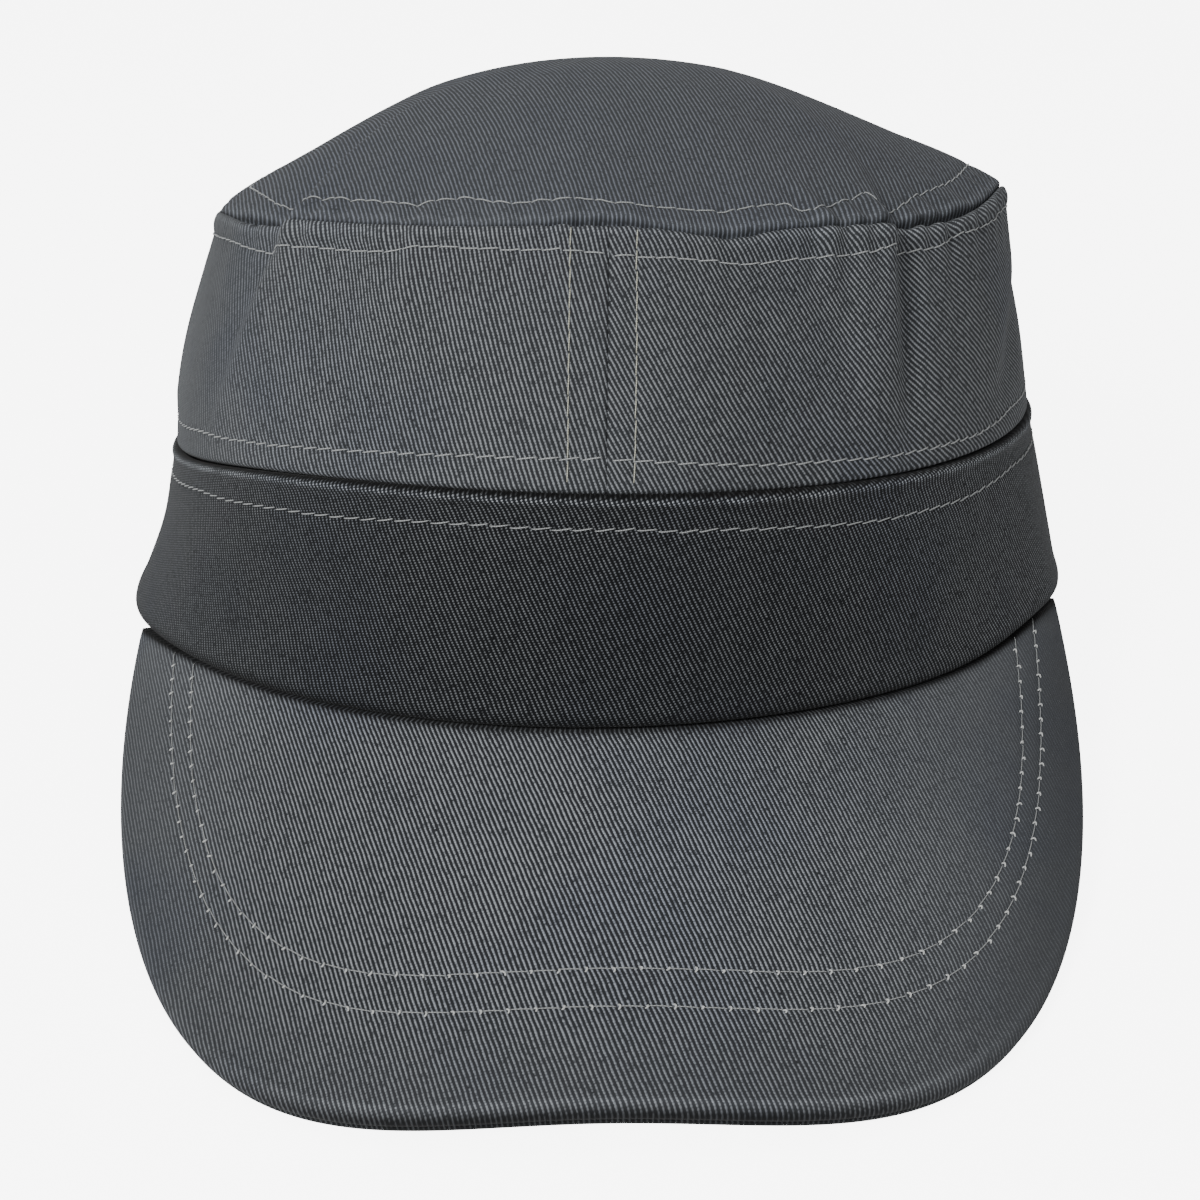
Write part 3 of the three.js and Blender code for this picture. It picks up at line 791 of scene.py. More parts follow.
def build_band(s, material):
    """The band: straight lines from the rim to the seam, pushed along the normal by dents, by the fold
    at the rim, by the proud edge at the seam and by its row of stitches."""
    rim, low, _ = cap_rings(s)
    angles = np.linspace(-HALF_TURN, HALF_TURN, COLUMNS + 1)
    shares = spaced(WALL_ROWS, WALL_CROWDING)
    angle, share = angles[None, :], shares[:, None]
    foot, head = ring_point(s, rim, angles), ring_point(s, low, angles)

    def wall(part):
        point = foot[None] * (1 - part[..., None]) + head[None] * part[..., None]
        return point + fold_relief(s, BAND_FOLDS, angle, part)[..., None] * outwards(angle)

    base = wall(share)
    height = np.linalg.norm(head - foot, axis=-1)[None, :]
    from_head, from_foot = (1 - share) * height, share * height
    along = along_panel(base)[None, :]
    relief = soft_relief(angle, share, BAND_WAVES, 11)
    relief += edge_drop(from_foot, RIM_ROUND, RIM_DROP) + MM * strip_at(RIM_SWELL, from_foot)
    relief += edge_drop(from_head, BAND_HEAD_ROUND, s.seam_depth)
    relief += MM * strip_at(BAND_HEAD_SWELL, from_head)
    relief += row_groove(s, from_head, row_at(BAND_ROW, angle), along)
    normals = grid_normals(base)
    outer = base + relief[..., None] * normals
    inner_share = np.linspace(0.0, 1.0, INNER_ROWS)[:, None]
    inner_base = wall(inner_share)
    inner_normals = grid_normals(inner_base)
    depth = np.full((INNER_ROWS, 1), s.band_wall)
    depth[0] = RIM_THICKNESS
    depth[-1] = s.foot_depth + BAND_HEAD_THICKNESS
    inner = inner_base - depth[..., None] * inner_normals
    middle = s.band_height / 2
    uv = woven_uv(along[0], angles, along, from_foot - middle, BAND_WEAVE)
    inner_uv = woven_uv(along[0], angles, along, inner_share * height - middle, BAND_WEAVE)
    CLOTHS["band"] = Cloth(angles, shares, outer)
    # Painted light and shade: a painted highlight waving along the band's rolled top edge, painted shadow in
    # the groove at its top and along its lower edge, and stretches round the head painted brighter and
    # darker.
    light_scale = 1.5 + 0.4 * waves(angle, 20, 60, 8, 71)
    painted_light = strength_along(BAND_PAINTED_LIGHT, angle) + light_scale * strip_at(BAND_HEAD_SHINE, from_head)
    painted_light = painted_light + strip_at(RIM_SHADE, from_foot) + strip_at(BAND_HEAD_SHADE, from_head)
    marks = {"painted_light": (painted_light, 0.0), "haze": (strength_along(BAND_HAZE, angle), 0.0)}
    return wall_object(s, "band_cloth", outer, inner, uv, inner_uv, marks, material,
                       ("band",), wraps=True)


def pucker_relief(angle, distance, seed):
    """Small gathers beside the top seam: a wavy line round the head that dies out away from it."""
    strength = 0.25 + strength_along(PUCKERED, angle)
    fading = np.exp(-distance / PUCKER_REACH)
    wave = 0.5 * waves(angle, 30, 60, 8, seed) + 0.7 * waves(angle, 68, 105, 8, seed + 1)
    return PUCKER_HEIGHT * wave * strength * fading * (1 - bell(distance / MM))


def build_side_panel(s, name, node, first, last, weave, material):
    """A side panel: straight lines between the two seams with a swell, pushed along the normal by
    folds, by the tuck at the band, by the proud rolled edge at the crown and by its rows of stitches."""
    _, low, top = cap_rings(s)
    angles = np.linspace(first, last, COLUMNS // 2 + 1)
    shares = spaced(WALL_ROWS, WALL_CROWDING)
    angle, share = angles[None, :], shares[:, None]

    def wall(part):
        leaning = angle + FRONT_SEAM_LEAN * (FRONT_SEAM_START - part) * bell(angle / 30.0)
        foot, head = ring_point(s, low, leaning), ring_point(s, top, leaning)
        bulge = s.side_bulge * (1.0 - s.side_bulge_fade * np.sin(np.radians(leaning)) ** 2)
        creased = crease_push(s, leaning, 1 - part, False)
        folded = fold_relief(s, SIDE_FOLDS, leaning, part) * np.minimum(1.0, 6.0 * part * (1 - part))
        out = 4.0 * bulge * part * (1 - part) + folded + creased
        point = foot * (1 - part[..., None]) + head * part[..., None] + out[..., None] * outwards(leaning)
        point[..., 2] += creased * s.crease_lift * part ** NEAR_SEAM_POWER
        return point

    base = wall(share)
    height = np.linalg.norm(base[-1] - base[0], axis=-1)[None, :]
    from_head, from_foot = (1 - share) * height, share * height
    along = along_panel(base)[None, :]
    from_ends = np.minimum(along, along[:, -1:] - along)
    hem = np.minimum(1.0, 6.0 * share * (1 - share))
    gap, groove = seam_depth_at(s, angle)
    relief = soft_relief(angle, share, SIDE_WAVES, 23)
    relief += pucker_relief(angle, from_head, 31)
    relief += edge_drop(from_foot - SIDE_FOOT_GAP, SIDE_FOOT_ROUND, s.foot_depth)
    relief += edge_drop(from_head - gap, SIDE_HEAD_ROUND, groove)
    relief += MM * strip_at(SIDE_HEAD_SWELL, from_head)
    relief += row_groove(s, from_head, row_at(TOP_ROW, angle), along)
    relief += row_groove(s, from_foot, row_at(LOW_ROW, angle), along)
    relief += row_groove(s, from_ends, s.front_row_left, from_foot)
    relief += edge_drop(from_ends, SIDE_END_ROUND, SIDE_END_DROP) * hem
    normals = grid_normals(base)
    lean_in = share[..., None] ** SIDE_MITRE_POWER
    normals = normals * (1 - lean_in) + lean_in * mitre_direction(angle)
    outer = base + relief[..., None] * normals
    inner_share = np.linspace(0.0, 1.0, INNER_ROWS)[:, None]
    inner_base = wall(inner_share)
    depth = np.full((INNER_ROWS, len(angles)), s.cloth_wall)
    depth[0] = s.foot_depth + EDGE_THICKNESS
    depth[-1] = groove[0] + EDGE_THICKNESS
    depth[-2] = np.maximum(depth[-2], groove[0])
    inner_lean = inner_share[..., None] ** SIDE_MITRE_POWER
    inner_normals = grid_normals(inner_base) * (1 - inner_lean) + inner_lean * mitre_direction(angle)
    inner = inner_base - depth[..., None] * inner_normals
    middle = s.side_height / 2
    uv = woven_uv(along[0], angles, along, from_foot - middle, weave)
    inner_uv = woven_uv(along[0], angles, along, inner_share * height - middle, weave)
    CLOTHS[node] = Cloth(angles, shares, outer)
    # Painted light and shade: a painted highlight on the rolled edge at the crown, painted shadow in the
    # groove at the foot behind the band, and stretches round the head painted darker.
    painted_light = strength_along(SIDE_PAINTED_LIGHT, angle) + strip_at(SIDE_HEAD_SHINE, from_head - gap)
    painted_light = painted_light + strip_at(SIDE_FOOT_SHADE, from_foot)
    marks = {"painted_light": (painted_light, 0.0), "haze": (SIDE_LEAST_HAZE + strength_along(SIDE_HAZE, angle), 0.0)}
    return wall_object(s, name, outer, inner, uv, inner_uv, marks, material, (node,))


def mitre_direction(angle):
    """Half-way between level outwards and straight up."""
    direction = outwards(angle)
    direction[..., 2] = 1.0
    return direction / math.sqrt(2.0)


def build_crown(s, material):
    """The crown: rings that shrink towards the middle of the top seam while the dome rises with a
    power of the share, pushed up by folds, by gathers and by its row of stitches. Its edge dives
    into the seam, deeper where the seam is pulled open."""
    top = cap_rings(s)[2]
    angles = np.linspace(-HALF_TURN, HALF_TURN, COLUMNS + 1)
    shares = spaced(2 * CROWN_ROWS + 1, CROWN_CROWDING)[:CROWN_ROWS] * 2.0
    angle, share = angles[None, :], shares[:, None]
    edge = ring_point(s, top, angles)

    def dome(part):
        spread = 1.0 - part
        x = top.x + (edge[None, :, 0] - top.x) * spread + s.crown_lean * (1 - spread ** 2)
        y = top.y + (edge[None, :, 1] - top.y) * spread
        z = top.z + (edge[None, :, 2] - top.z) * spread ** 2 + s.crown_rise * (1 - spread ** s.crown_flatness)
        creased = crease_push(s, angle, part, True)
        near_seam = spread ** NEAR_SEAM_POWER
        z = z + creased * (1 - (1 - s.crease_lift) * near_seam)
        z = z + fold_relief(s, CROWN_FOLDS, angle, part) * np.minimum(1.0, 4.0 * part)
        return np.stack([x, y, z], axis=-1) + (creased * near_seam)[..., None] * outwards(angle)

    base = dome(share)
    radius = np.hypot(edge[:, 0] - top.x, edge[:, 1] - top.y)[None, :]
    distance = share * radius
    along = np.concatenate([[0.0], np.cumsum(np.linalg.norm(np.diff(edge, axis=0), axis=-1))])[None, :]
    relief = soft_relief(angle, share, CROWN_WAVES, 41) * (1 - share) + pucker_relief(angle, distance, 31)
    relief += row_groove(s, distance, row_at(CROWN_ROW, angle), along)
    gap, groove = seam_depth_at(s, angle)
    relief += edge_drop(distance - gap, CROWN_ROUND, groove)
    normals = grid_normals(base)
    lean_out = (1 - share[..., None]) ** CROWN_MITRE_POWER
    normals = normals * (1 - lean_out) + lean_out * mitre_direction(angle)
    outer = base + relief[..., None] * normals
    inner_share = np.linspace(0.0, 0.96, INNER_ROWS)[:, None]
    inner_base = dome(inner_share)
    depth = np.full((INNER_ROWS, len(angles)), s.cloth_wall)
    depth[0] = groove[0] + EDGE_THICKNESS
    inner_lean = (1 - inner_share[..., None]) ** CROWN_MITRE_POWER
    inner_normals = grid_normals(inner_base) * (1 - inner_lean) + inner_lean * mitre_direction(angle)
    inner = inner_base - depth[..., None] * inner_normals
    middle = dome(np.array([[1.0]]))[0, 0]
    pole = np.stack([middle, middle - np.array([0.0, 0.0, s.cloth_wall])])
    line = np.linspace(-0.1, 0.1, 401)
    uv, inner_uv, pole_uv = [
        woven_uv(line, line / MM, grid[..., 0], grid[..., 1] + CROWN_WEAVE_START, CROWN_WEAVE)
        for grid in (outer, inner, pole)
    ]
    CLOTHS["crown_top"] = Cloth(angles, shares, outer)
    # Painted light and shade: a painted highlight on the edge at the top seam, and a stretch round the head
    # painted darker, fading towards the middle.
    painted_light = strength_along(CROWN_PAINTED_LIGHT, angle) * (1 - share) + strip_at(CROWN_EDGE_SHINE, distance - gap)
    marks = {"painted_light": (painted_light, 0.0), "haze": (CROWN_HAZE, CROWN_HAZE)}
    return wall_object(s, "crown_cloth", outer, inner, uv, inner_uv, marks, material,
                       ("crown_top",), wraps=True, pole=(pole, pole_uv))


def peak_flat(s, x, y):
    """Places on the peak's flat pattern. The peak is bent along straight lines that fall forward, so a
    point's way across is the length of its section square to them, and its way along is the line's."""
    table = np.linspace(-0.1, 0.1, 2001)
    edge = ring_point(s, cap_rings(s)[0], rim_angle_at(s, table))
    rise = edge[:, 2] * math.cos(s.peak_slope) - math.sin(s.peak_slope) * edge[:, 1]
    steps = np.hypot(np.diff(table), np.diff(rise))
    way = np.concatenate([[0.0], np.cumsum(steps)])
    return np.interp(x, table, way - np.interp(0.0, table, way)), y / math.cos(s.peak_slope)


def build_peak_cover(s, name, node, upper, material):
    """A cover of the peak: a fan of lines from the rim to the outline, laid on the peak's surface. The
    upper cover rolls down at the outline and is pulled in by its rows of stitches. The lower cover
    lies under it and rolls up."""
    rim = cap_rings(s)[0]
    bow = peak_bow(s)
    across = np.linspace(-1.0, 1.0, PEAK_COLUMNS + 1)
    a = np.sign(across) * (np.pi / 2) * np.abs(across) ** (s.peak_side_fullness / 2)
    x_out, y_out = bow_point(bow, a)
    inner_edge = ring_point(s, rim, across * s.peak_end_angle)
    tuck = -(s.tuck_depth + 2.0 * MM) * outwards(across * s.peak_end_angle)
    low_depth = 0.0 if upper else s.cover_wall + s.seam_gap
    high_depth = low_depth + s.cover_wall
    reach = np.linalg.norm(np.stack([x_out, y_out], axis=-1) - inner_edge[:, :2], axis=-1)

    def inset_at(x, y, to_end):
        return np.minimum(to_end, np.maximum(bow_inset(bow, x, y), 0.0))

    def layer(outs, depth_at):
        out = outs[:, None]
        x = inner_edge[None, :, 0] * (1 - out) + x_out[None, :] * out
        y = inner_edge[None, :, 1] * (1 - out) + y_out[None, :] * out
        normal = peak_normal(s, x, y)
        surface = np.stack([x, y, peak_height(s, x, y)], axis=-1)
        laid = surface - depth_at(x, y, (1 - out) * reach[None, :])[..., None] * normal
        tucked = laid[:1] + tuck[None]
        u, v = peak_flat(s, x, y)
        line = np.linspace(-0.12, 0.12, 481)
        flat_uv = woven_uv(line, line / MM, u, v + PEAK_MIDDLE, PEAK_WEAVE)
        inset = inset_at(x, y, (1 - out) * reach[None, :])
        from_rim = out * reach[None, :]
        left_side = beyond(x, 55, 8)
        right_side = beyond(-x, 50, 8)
        in_front = beyond(-np.abs(x), -48, 7)
        # Painted light and shade: painted light round the peak's middle and beside the band, painted shade
        # towards both sides and along the outline, in front a painted highlight just inside the rolled edge
        # over painted shadow on the edge itself, and painted shadow under the band's edge.
        painted_light = strip_at(PEAK_MIDDLE_SHINE, np.hypot(x, y + PEAK_MIDDLE))
        painted_light = painted_light + strip_at(PEAK_EDGE_SHADE, inset) - 0.32 * left_side - 0.14 * right_side
        painted_light = painted_light + in_front * (strip_at(PEAK_EDGE_SHINE, inset) + strip_at(PEAK_EDGE_DARK, inset))
        painted_light = painted_light + strip_at(PEAK_TUCK_SHADE, from_rim) + strip_at(PEAK_TUCK_SHINE, from_rim)
        haze = 0.7 * left_side + 0.35 * beyond(-x, 62, 6) + strip_at(PEAK_EDGE_HAZE, inset)
        points = np.concatenate([laid[::-1], tucked])
        flat_uv, painted_light, haze = [np.concatenate([grid[::-1], grid[:1]]) for grid in (flat_uv, painted_light, haze)]
        return points, flat_uv, painted_light, haze

    def top_depth(x, y, to_end):
        if not upper:
            return np.full(np.shape(x), low_depth)
        inset = inset_at(x, y, to_end)
        ahead = ring_point(s, rim, rim_angle_at(s, x))[..., 1] - y
        depth = -edge_drop(inset, UPPER_COVER_ROUND, COVER_DROP) - MM * strip_at(PEAK_EDGE_SWELL, inset)
        depth = depth + MM * strip_at(PEAK_TUCK_SINK, ahead)
        for row in PEAK_STITCHES:
            depth = depth + PEAK_ROW_SINK * s.row_sink * bell(bow_inset(row, x, y) / PEAK_GROOVE)
        return depth

    def bottom_depth(x, y, to_end):
        if upper:
            return np.full(np.shape(x), high_depth)
        return high_depth + edge_drop(inset_at(x, y, to_end), LOWER_COVER_ROUND, COVER_DROP)

    outs = 1.0 - spaced(2 * PEAK_ROWS - 1, PEAK_CROWDING)[:PEAK_ROWS][::-1] * 2.0
    outs = np.sort(np.clip(outs, 0.0, 1.0))
    fine, fine_uv, fine_painted_light, fine_haze = layer(outs, top_depth if upper else bottom_depth)
    coarse_outs = np.concatenate([np.linspace(0.0, 0.97, INNER_ROWS), [1.0]])
    coarse, coarse_uv, coarse_painted_light, coarse_haze = layer(coarse_outs, bottom_depth if upper else top_depth)
    marks = {"painted_light": (fine_painted_light, coarse_painted_light), "haze": (fine_haze, coarse_haze)}
    if not upper:
        fine, coarse = fine[::-1], coarse[::-1]
        fine_uv, coarse_uv = fine_uv[::-1], coarse_uv[::-1]
        marks = {mark: (outside[::-1], inside[::-1]) for mark, (outside, inside) in marks.items()}
    return wall_object(s, name, fine, coarse, fine_uv, coarse_uv, marks, material, (node,))


# Stitches

def tube_object(s, name, paths, normals, radius, material):
    """Many short threads in one mesh. Each path is a row of points, and round each point stands a ring
    in the plane of the path's normal and its side. The ends are closed by small caps."""
    count, stations = paths.shape[:2]
    tangent = np.gradient(paths, axis=1)
    tangent /= np.maximum(np.linalg.norm(tangent, axis=-1, keepdims=True), 1e-12)
    side = np.cross(normals, tangent)
    side /= np.maximum(np.linalg.norm(side, axis=-1, keepdims=True), 1e-12)
    lift = np.cross(tangent, side)
    t = np.linspace(0.0, 1.0, stations)
    girth = radius * (0.6 + 0.4 * np.sin(np.pi * t) ** 0.5)
    turn = 2.0 * np.pi * np.arange(THREAD_SIDES) / THREAD_SIDES
    ring = np.cos(turn)[:, None] * side[:, :, None, :] + np.sin(turn)[:, None] * lift[:, :, None, :]
    points = paths[:, :, None, :] + girth[None, :, None, None] * ring
    number = np.arange(points[..., 0].size).reshape(count, stations, THREAD_SIDES)
    around = np.concatenate([number, number[:, :, :1]], axis=2)
    walls = quads(around[:, :-1], around[:, 1:])
    caps = np.concatenate([number[:, 0, ::-1], number[:, -1, :]])
    corners = np.concatenate([walls.ravel(), caps.ravel()])
    sizes = np.concatenate([np.full(len(walls), 4), np.full(len(caps), THREAD_SIDES)])
    v = np.broadcast_to(t[None, :, None], number.shape)
    u = np.broadcast_to(np.arange(THREAD_SIDES)[None, None, :] / THREAD_SIDES, number.shape)
    uv = np.stack([u, v], axis=-1).reshape(-1, 2)
    placed = stand(s, points.reshape(-1, 3))
    return make_object(name, placed, corners, sizes, uv[corners], material)


def stitch_paths(s, line, normals, stitch, slant, seed):
    """Cuts a long line on the cloth into stitches. Each rises out of the cloth, lies on it and dives in
    again, and lies a little aslant, so that the next one starts beside its end."""
    steps = np.linalg.norm(np.diff(line, axis=0), axis=-1)
    run = np.concatenate([[0.0], np.cumsum(steps)])
    count = max(1, int(round(run[-1] / stitch)))
    rng = np.random.default_rng(seed)
    t = np.linspace(0.0, 1.0, THREAD_STATIONS)
    starts = np.arange(count)[:, None] - 0.02 + rng.uniform(-0.04, 0.04, (count, 1))
    places = np.clip((starts + 1.04 * t[None, :]) * run[-1] / count, 0.0, run[-1])
    path = np.stack([np.interp(places, run, line[:, k]) for k in range(3)], axis=-1)
    normal = np.stack([np.interp(places, run, normals[:, k]) for k in range(3)], axis=-1)
    normal /= np.linalg.norm(normal, axis=-1, keepdims=True)
    tangent = np.gradient(path, axis=1)
    side = np.cross(normal, tangent)
    side /= np.maximum(np.linalg.norm(side, axis=-1, keepdims=True), 1e-12)
    sideways = slant * (0.5 - t)[None, :] + rng.normal(0.0, 0.04 * MM, (count, 1))
    height = s.thread_radius * (-0.9 + 2.1 * np.sin(np.pi * t) ** 0.3)[None, :]
    return path + sideways[..., None] * side + height[..., None] * normal, normal


def seam_row(s, node, name, share_at, slant, first, last, material, seed):
    """A row of stitches round a panel at a given share of it for each angle."""
    cloth = CLOTHS[node]
    angle = np.linspace(first, last, 2400)
    line, normals = cloth.at(angle, share_at(angle))
    paths, upright = stitch_paths(s, line, normals, s.stitch_length, slant, seed)
    return tube_object(s, name, paths, upright, s.thread_radius, material)


def build_seam_stitches(s, material, pale):
    """The rows beside the seams round the head, and those beside the seams in front and behind."""
    rim, low, top = cap_rings(s)

    def height(a, b, angle):
        return np.linalg.norm(ring_point(s, b, angle) - ring_point(s, a, angle), axis=-1)

    def radius(angle):
        edge = ring_point(s, top, angle)
        return np.hypot(edge[:, 0] - top.x, edge[:, 1] - top.y)

    def under_low(angle):
        return 1 - row_at(BAND_ROW, angle) / height(rim, low, angle)

    def over_low(angle):
        return row_at(LOW_ROW, angle) / height(low, top, angle)

    def under_top(angle):
        return 1 - row_at(TOP_ROW, angle) / height(low, top, angle)

    def over_top(angle):
        return row_at(CROWN_ROW, angle) / radius(angle)

    seam_row(s, "band", "stitches_band", under_low, WIDE_SLANT, -ROW_END, ROW_END, material, 101)
    seam_row(s, "crown_top", "stitches_crown", over_top, SLIGHT_SLANT, -ROW_END, ROW_END, material, 102)
    share = np.linspace(0.05, 0.975, 400)
    half_width = s.low_seam_width / 2 * (1 - share) + s.top_seam_width / 2 * share
    for label, way, inset in (("left", 1.0, s.front_row_left), ("right", -1.0, s.front_row_right)):
        node = "side_panel_" + label
        first, last = sorted((way * ROW_START, way * ROW_END))
        seam_row(s, node, "stitches_low_" + label, over_low, WIDE_SLANT, first, last, material, 103)
        seam_row(s, node, "stitches_top_" + label, under_top, SLIGHT_SLANT, first, last, material, 104)
        for place, seam, inwards in (("front", 0.0, way), ("back", way * HALF_TURN, -way)):
            angle = seam + inwards * np.degrees(inset / half_width)
            line, normals = CLOTHS[node].at(angle, share)
            paths, upright = stitch_paths(s, line, normals, s.stitch_length, FRONT_SLANT, 105)
            name = "stitches_" + place + "_" + label
            tube_object(s, name, paths, upright, FRONT_THREAD * s.thread_radius, pale)


def build_peak_stitches(s, material, knot):
    """Two rows on the peak. On each the thread lies nearly straight, and the thread from below comes up
    in a small loop at every stitch."""
    rng = np.random.default_rng(7)
    for number, row in enumerate(PEAK_STITCHES):
        t = np.linspace(-1.0, 1.0, PEAK_ROW_POINTS)
        x, y = bow_point(row, np.sign(t) * np.abs(t) ** PEAK_ROW_CROWDING * PEAK_ROW_REACH)
        keep = y < ring_point(s, cap_rings(s)[0], rim_angle_at(s, x))[:, 1] - 0.5 * MM
        x, y = x[keep], y[keep]
        normals = peak_normal(s, x, y)
        sunk = PEAK_ROW_SINK * s.row_sink
        line = np.stack([x, y, peak_height(s, x, y)], axis=-1) - sunk * normals
        paths, upright = stitch_paths(s, line, normals, s.peak_stitch_length, PEAK_SLANT, 110 + number)
        loops, loop_normals = knot_paths(s, line, normals, rng)
        label = "peak_%d" % (number + 1)
        tube_object(s, "stitches_" + label, paths, upright, PEAK_THREAD * s.thread_radius, material)
        tube_object(s, "knots_" + label, loops, loop_normals, KNOT_THREAD * s.thread_radius, knot)


def knot_paths(s, line, normals, rng):
    """A small bent loop across the row at each needle hole: it comes up on one side, arches over the
    thread and goes down again, a little further on."""
    steps = np.linalg.norm(np.diff(line, axis=0), axis=-1)
    run = np.concatenate([[0.0], np.cumsum(steps)])
    count = int(round(run[-1] / s.peak_stitch_length))
    place = (np.arange(1, count) * run[-1] / count)[:, None]
    t = np.linspace(-1.0, 1.0, THREAD_STATIONS)[None, :]
    lean = rng.normal(0.0, 0.3, place.shape)
    along = place + 0.35 * MM * (1 - t * t) + lean * 0.4 * MM * t
    point = np.stack([np.interp(along, run, line[:, k]) for k in range(3)], axis=-1)
    normal = np.stack([np.interp(along, run, normals[:, k]) for k in range(3)], axis=-1)
    normal /= np.linalg.norm(normal, axis=-1, keepdims=True)
    ahead = np.stack([np.interp(along + 0.1 * MM, run, line[:, k]) for k in range(3)], axis=-1) - point
    side = np.cross(normal, ahead)
    side /= np.maximum(np.linalg.norm(side, axis=-1, keepdims=True), 1e-12)
    wide = rng.uniform(0.2, 0.5, place.shape) * MM
    aside = rng.normal(-0.12, 0.12, place.shape) * MM
    height = s.thread_radius * (2.4 * (1 - t * t) - 0.4)
    return point + (aside + wide * t)[..., None] * side + height[..., None] * normal, normal


# Materials

def add_node(tree, kind, label, **values):
    """A labelled node with some of its settings."""
    node = tree.nodes.new(kind)
    node.label = label
    for key, value in values.items():
        setattr(node, key, value)
    return node


def maths(tree, operation, label, *inputs):
    """A Math node whose inputs are numbers or outputs of other nodes."""
    node = add_node(tree, "ShaderNodeMath", label, operation=operation)
    for socket, value in zip(node.inputs, inputs):
        if isinstance(value, (int, float)):
            socket.default_value = value
        else:
            tree.links.new(value, socket)
    return node.outputs[0]


def noise(tree, label, place, scale, detail):
    """The value of a noise texture at a place."""
    node = add_node(tree, "ShaderNodeTexNoise", label)
    node.inputs["Scale"].default_value = scale
    node.inputs["Detail"].default_value = detail
    tree.links.new(place, node.inputs["Vector"])
    return node.outputs[0]


def raised_cosine(tree, label, turns):
    """A wave from 0 to 1, with one crest for each whole number of turns."""
    angle = maths(tree, "MULTIPLY", label + " turn", turns, 2.0 * math.pi)
    return maths(tree, "MULTIPLY_ADD", label, maths(tree, "COSINE", label + " wave", angle), 0.5, 0.5)


# The weave: how sharp its ridges are, how far their lines stray, how far the beads are shifted from one
# ridge to the next, and what the patches and single beads count beside the yarn and the fibres
RIDGE_POWER = 2.4
LINE_SHIFT = 0.42
BEAD_STAGGER = 0.37
PATCH_SHARE = 0.25
BEAD_SHARE = 0.35
UNEVEN_MIDDLE = 1.3

# Scales of its noises, and how far apart the yarns of neighbouring ridges lie in theirs
LINE_SCALE = 260.0
FIBRE_SCALE = 2400.0
PATCH_SCALE = 150.0
YARN_SCALE = 900.0
YARN_STEP = 7.31
WORN_SCALE = 34.0


def twill_group():
    """The weave's height as a node group. A ridge is a power of a raised cosine across the lines. Along
    it, beads follow each other, shifted from ridge to ridge, and noise makes lines and yarns uneven."""
    group = bpy.data.node_groups.new("twill_weave", "ShaderNodeTree")
    group.interface.new_socket("Cloth", in_out="INPUT", socket_type="NodeSocketVector")
    for name, value in (("Pitch", 0.00068), ("Bead", 0.00047), ("Beading", 0.4), ("Unevenness", 1.7)):
        socket = group.interface.new_socket(name, in_out="INPUT", socket_type="NodeSocketFloat")
        socket.default_value = value
    group.interface.new_socket("Height", in_out="OUTPUT", socket_type="NodeSocketFloat")
    enter = add_node(group, "NodeGroupInput", "Inputs")
    leave = add_node(group, "NodeGroupOutput", "Outputs")
    link = group.links.new
    place = enter.outputs["Cloth"]
    parts = add_node(group, "ShaderNodeSeparateXYZ", "Across and along")
    link(place, parts.inputs[0])
    across, along = parts.outputs[0], parts.outputs[1]

    stray = maths(group, "SUBTRACT", "Centred", noise(group, "Uneven lines", place, LINE_SCALE, 2.0), 0.5)
    shift = maths(group, "MULTIPLY", "Line shift", stray, LINE_SHIFT)
    lines = maths(group, "DIVIDE", "Lines", across, enter.outputs["Pitch"])
    line = maths(group, "ADD", "Line count", lines, shift)
    whole = maths(group, "ROUND", "Line number", line)
    ridge = maths(group, "POWER", "Ridge", raised_cosine(group, "Raised ridge", line), RIDGE_POWER)

    beads = maths(group, "DIVIDE", "Beads", along, enter.outputs["Bead"])
    stagger = maths(group, "MULTIPLY_ADD", "Stagger", whole, BEAD_STAGGER, beads)
    dip = maths(group, "SUBTRACT", "Bead dip", raised_cosine(group, "Bead", stagger), 1.0)
    beaded = maths(group, "MULTIPLY_ADD", "Beaded", dip, enter.outputs["Beading"], 1.0)
    number = add_node(group, "ShaderNodeCombineXYZ", "Bead number")
    link(whole, number.inputs[0])
    link(maths(group, "ROUND", "Bead count", stagger), number.inputs[1])
    chance = add_node(group, "ShaderNodeTexWhiteNoise", "Bead brightness", noise_dimensions="2D")
    link(number.outputs[0], chance.inputs["Vector"])

    yarn_place = add_node(group, "ShaderNodeCombineXYZ", "Yarn place")
    link(maths(group, "MULTIPLY", "Yarn row", whole, YARN_STEP), yarn_place.inputs[0])
    link(maths(group, "MULTIPLY", "Yarn way", along, YARN_SCALE), yarn_place.inputs[1])
    yarn = noise(group, "Uneven yarn", yarn_place.outputs[0], 1.0, 2.0)
    fibre = noise(group, "Fibres", place, FIBRE_SCALE, 1.0)
    patch = noise(group, "Patches", place, PATCH_SCALE, 3.0)
    broad = maths(group, "MULTIPLY_ADD", "Yarn and patches", patch, PATCH_SHARE, yarn)
    fine = maths(group, "MULTIPLY_ADD", "Beads and fibres", chance.outputs[0], BEAD_SHARE, fibre)
    uneven = maths(group, "ADD", "Yarn and fibres", broad, fine)
    centred = maths(group, "SUBTRACT", "Unevenness centred", uneven, UNEVEN_MIDDLE)
    rough = maths(group, "MULTIPLY_ADD", "Uneven", centred, enter.outputs["Unevenness"], 1.0)
    height = maths(group, "MULTIPLY", "Beaded ridge", ridge, beaded)
    link(maths(group, "MULTIPLY", "Height", height, rough), leave.inputs["Height"])
    return group


# A twill: how bright it is, which paints light and shade per piece as lit and shaded copies of one cloth,
# the band darkest as painted shade where it faces down, how much of the ridge's colour fills the valleys,
# how much its beads show, and the least share of the tint
Twill = namedtuple("Twill", "shade haze beading tinting")

TWILLS = {
    "panel": Twill(1.1, 0.03, 0.5, 0.05),
    "crown": Twill(0.9, 0.13, 0.4, 0.5),
    "band": Twill(0.72, 0.0, 0.9, 0.0),
    "peak": Twill(1.38, 0.03, 0.5, 0.1),
}

# The share of the ridge's colour that hazy cloth tends to, and the least share of its colour that
# shaded cloth keeps
MEAN_SHARE = 0.36
LEAST_COLOUR = 0.04


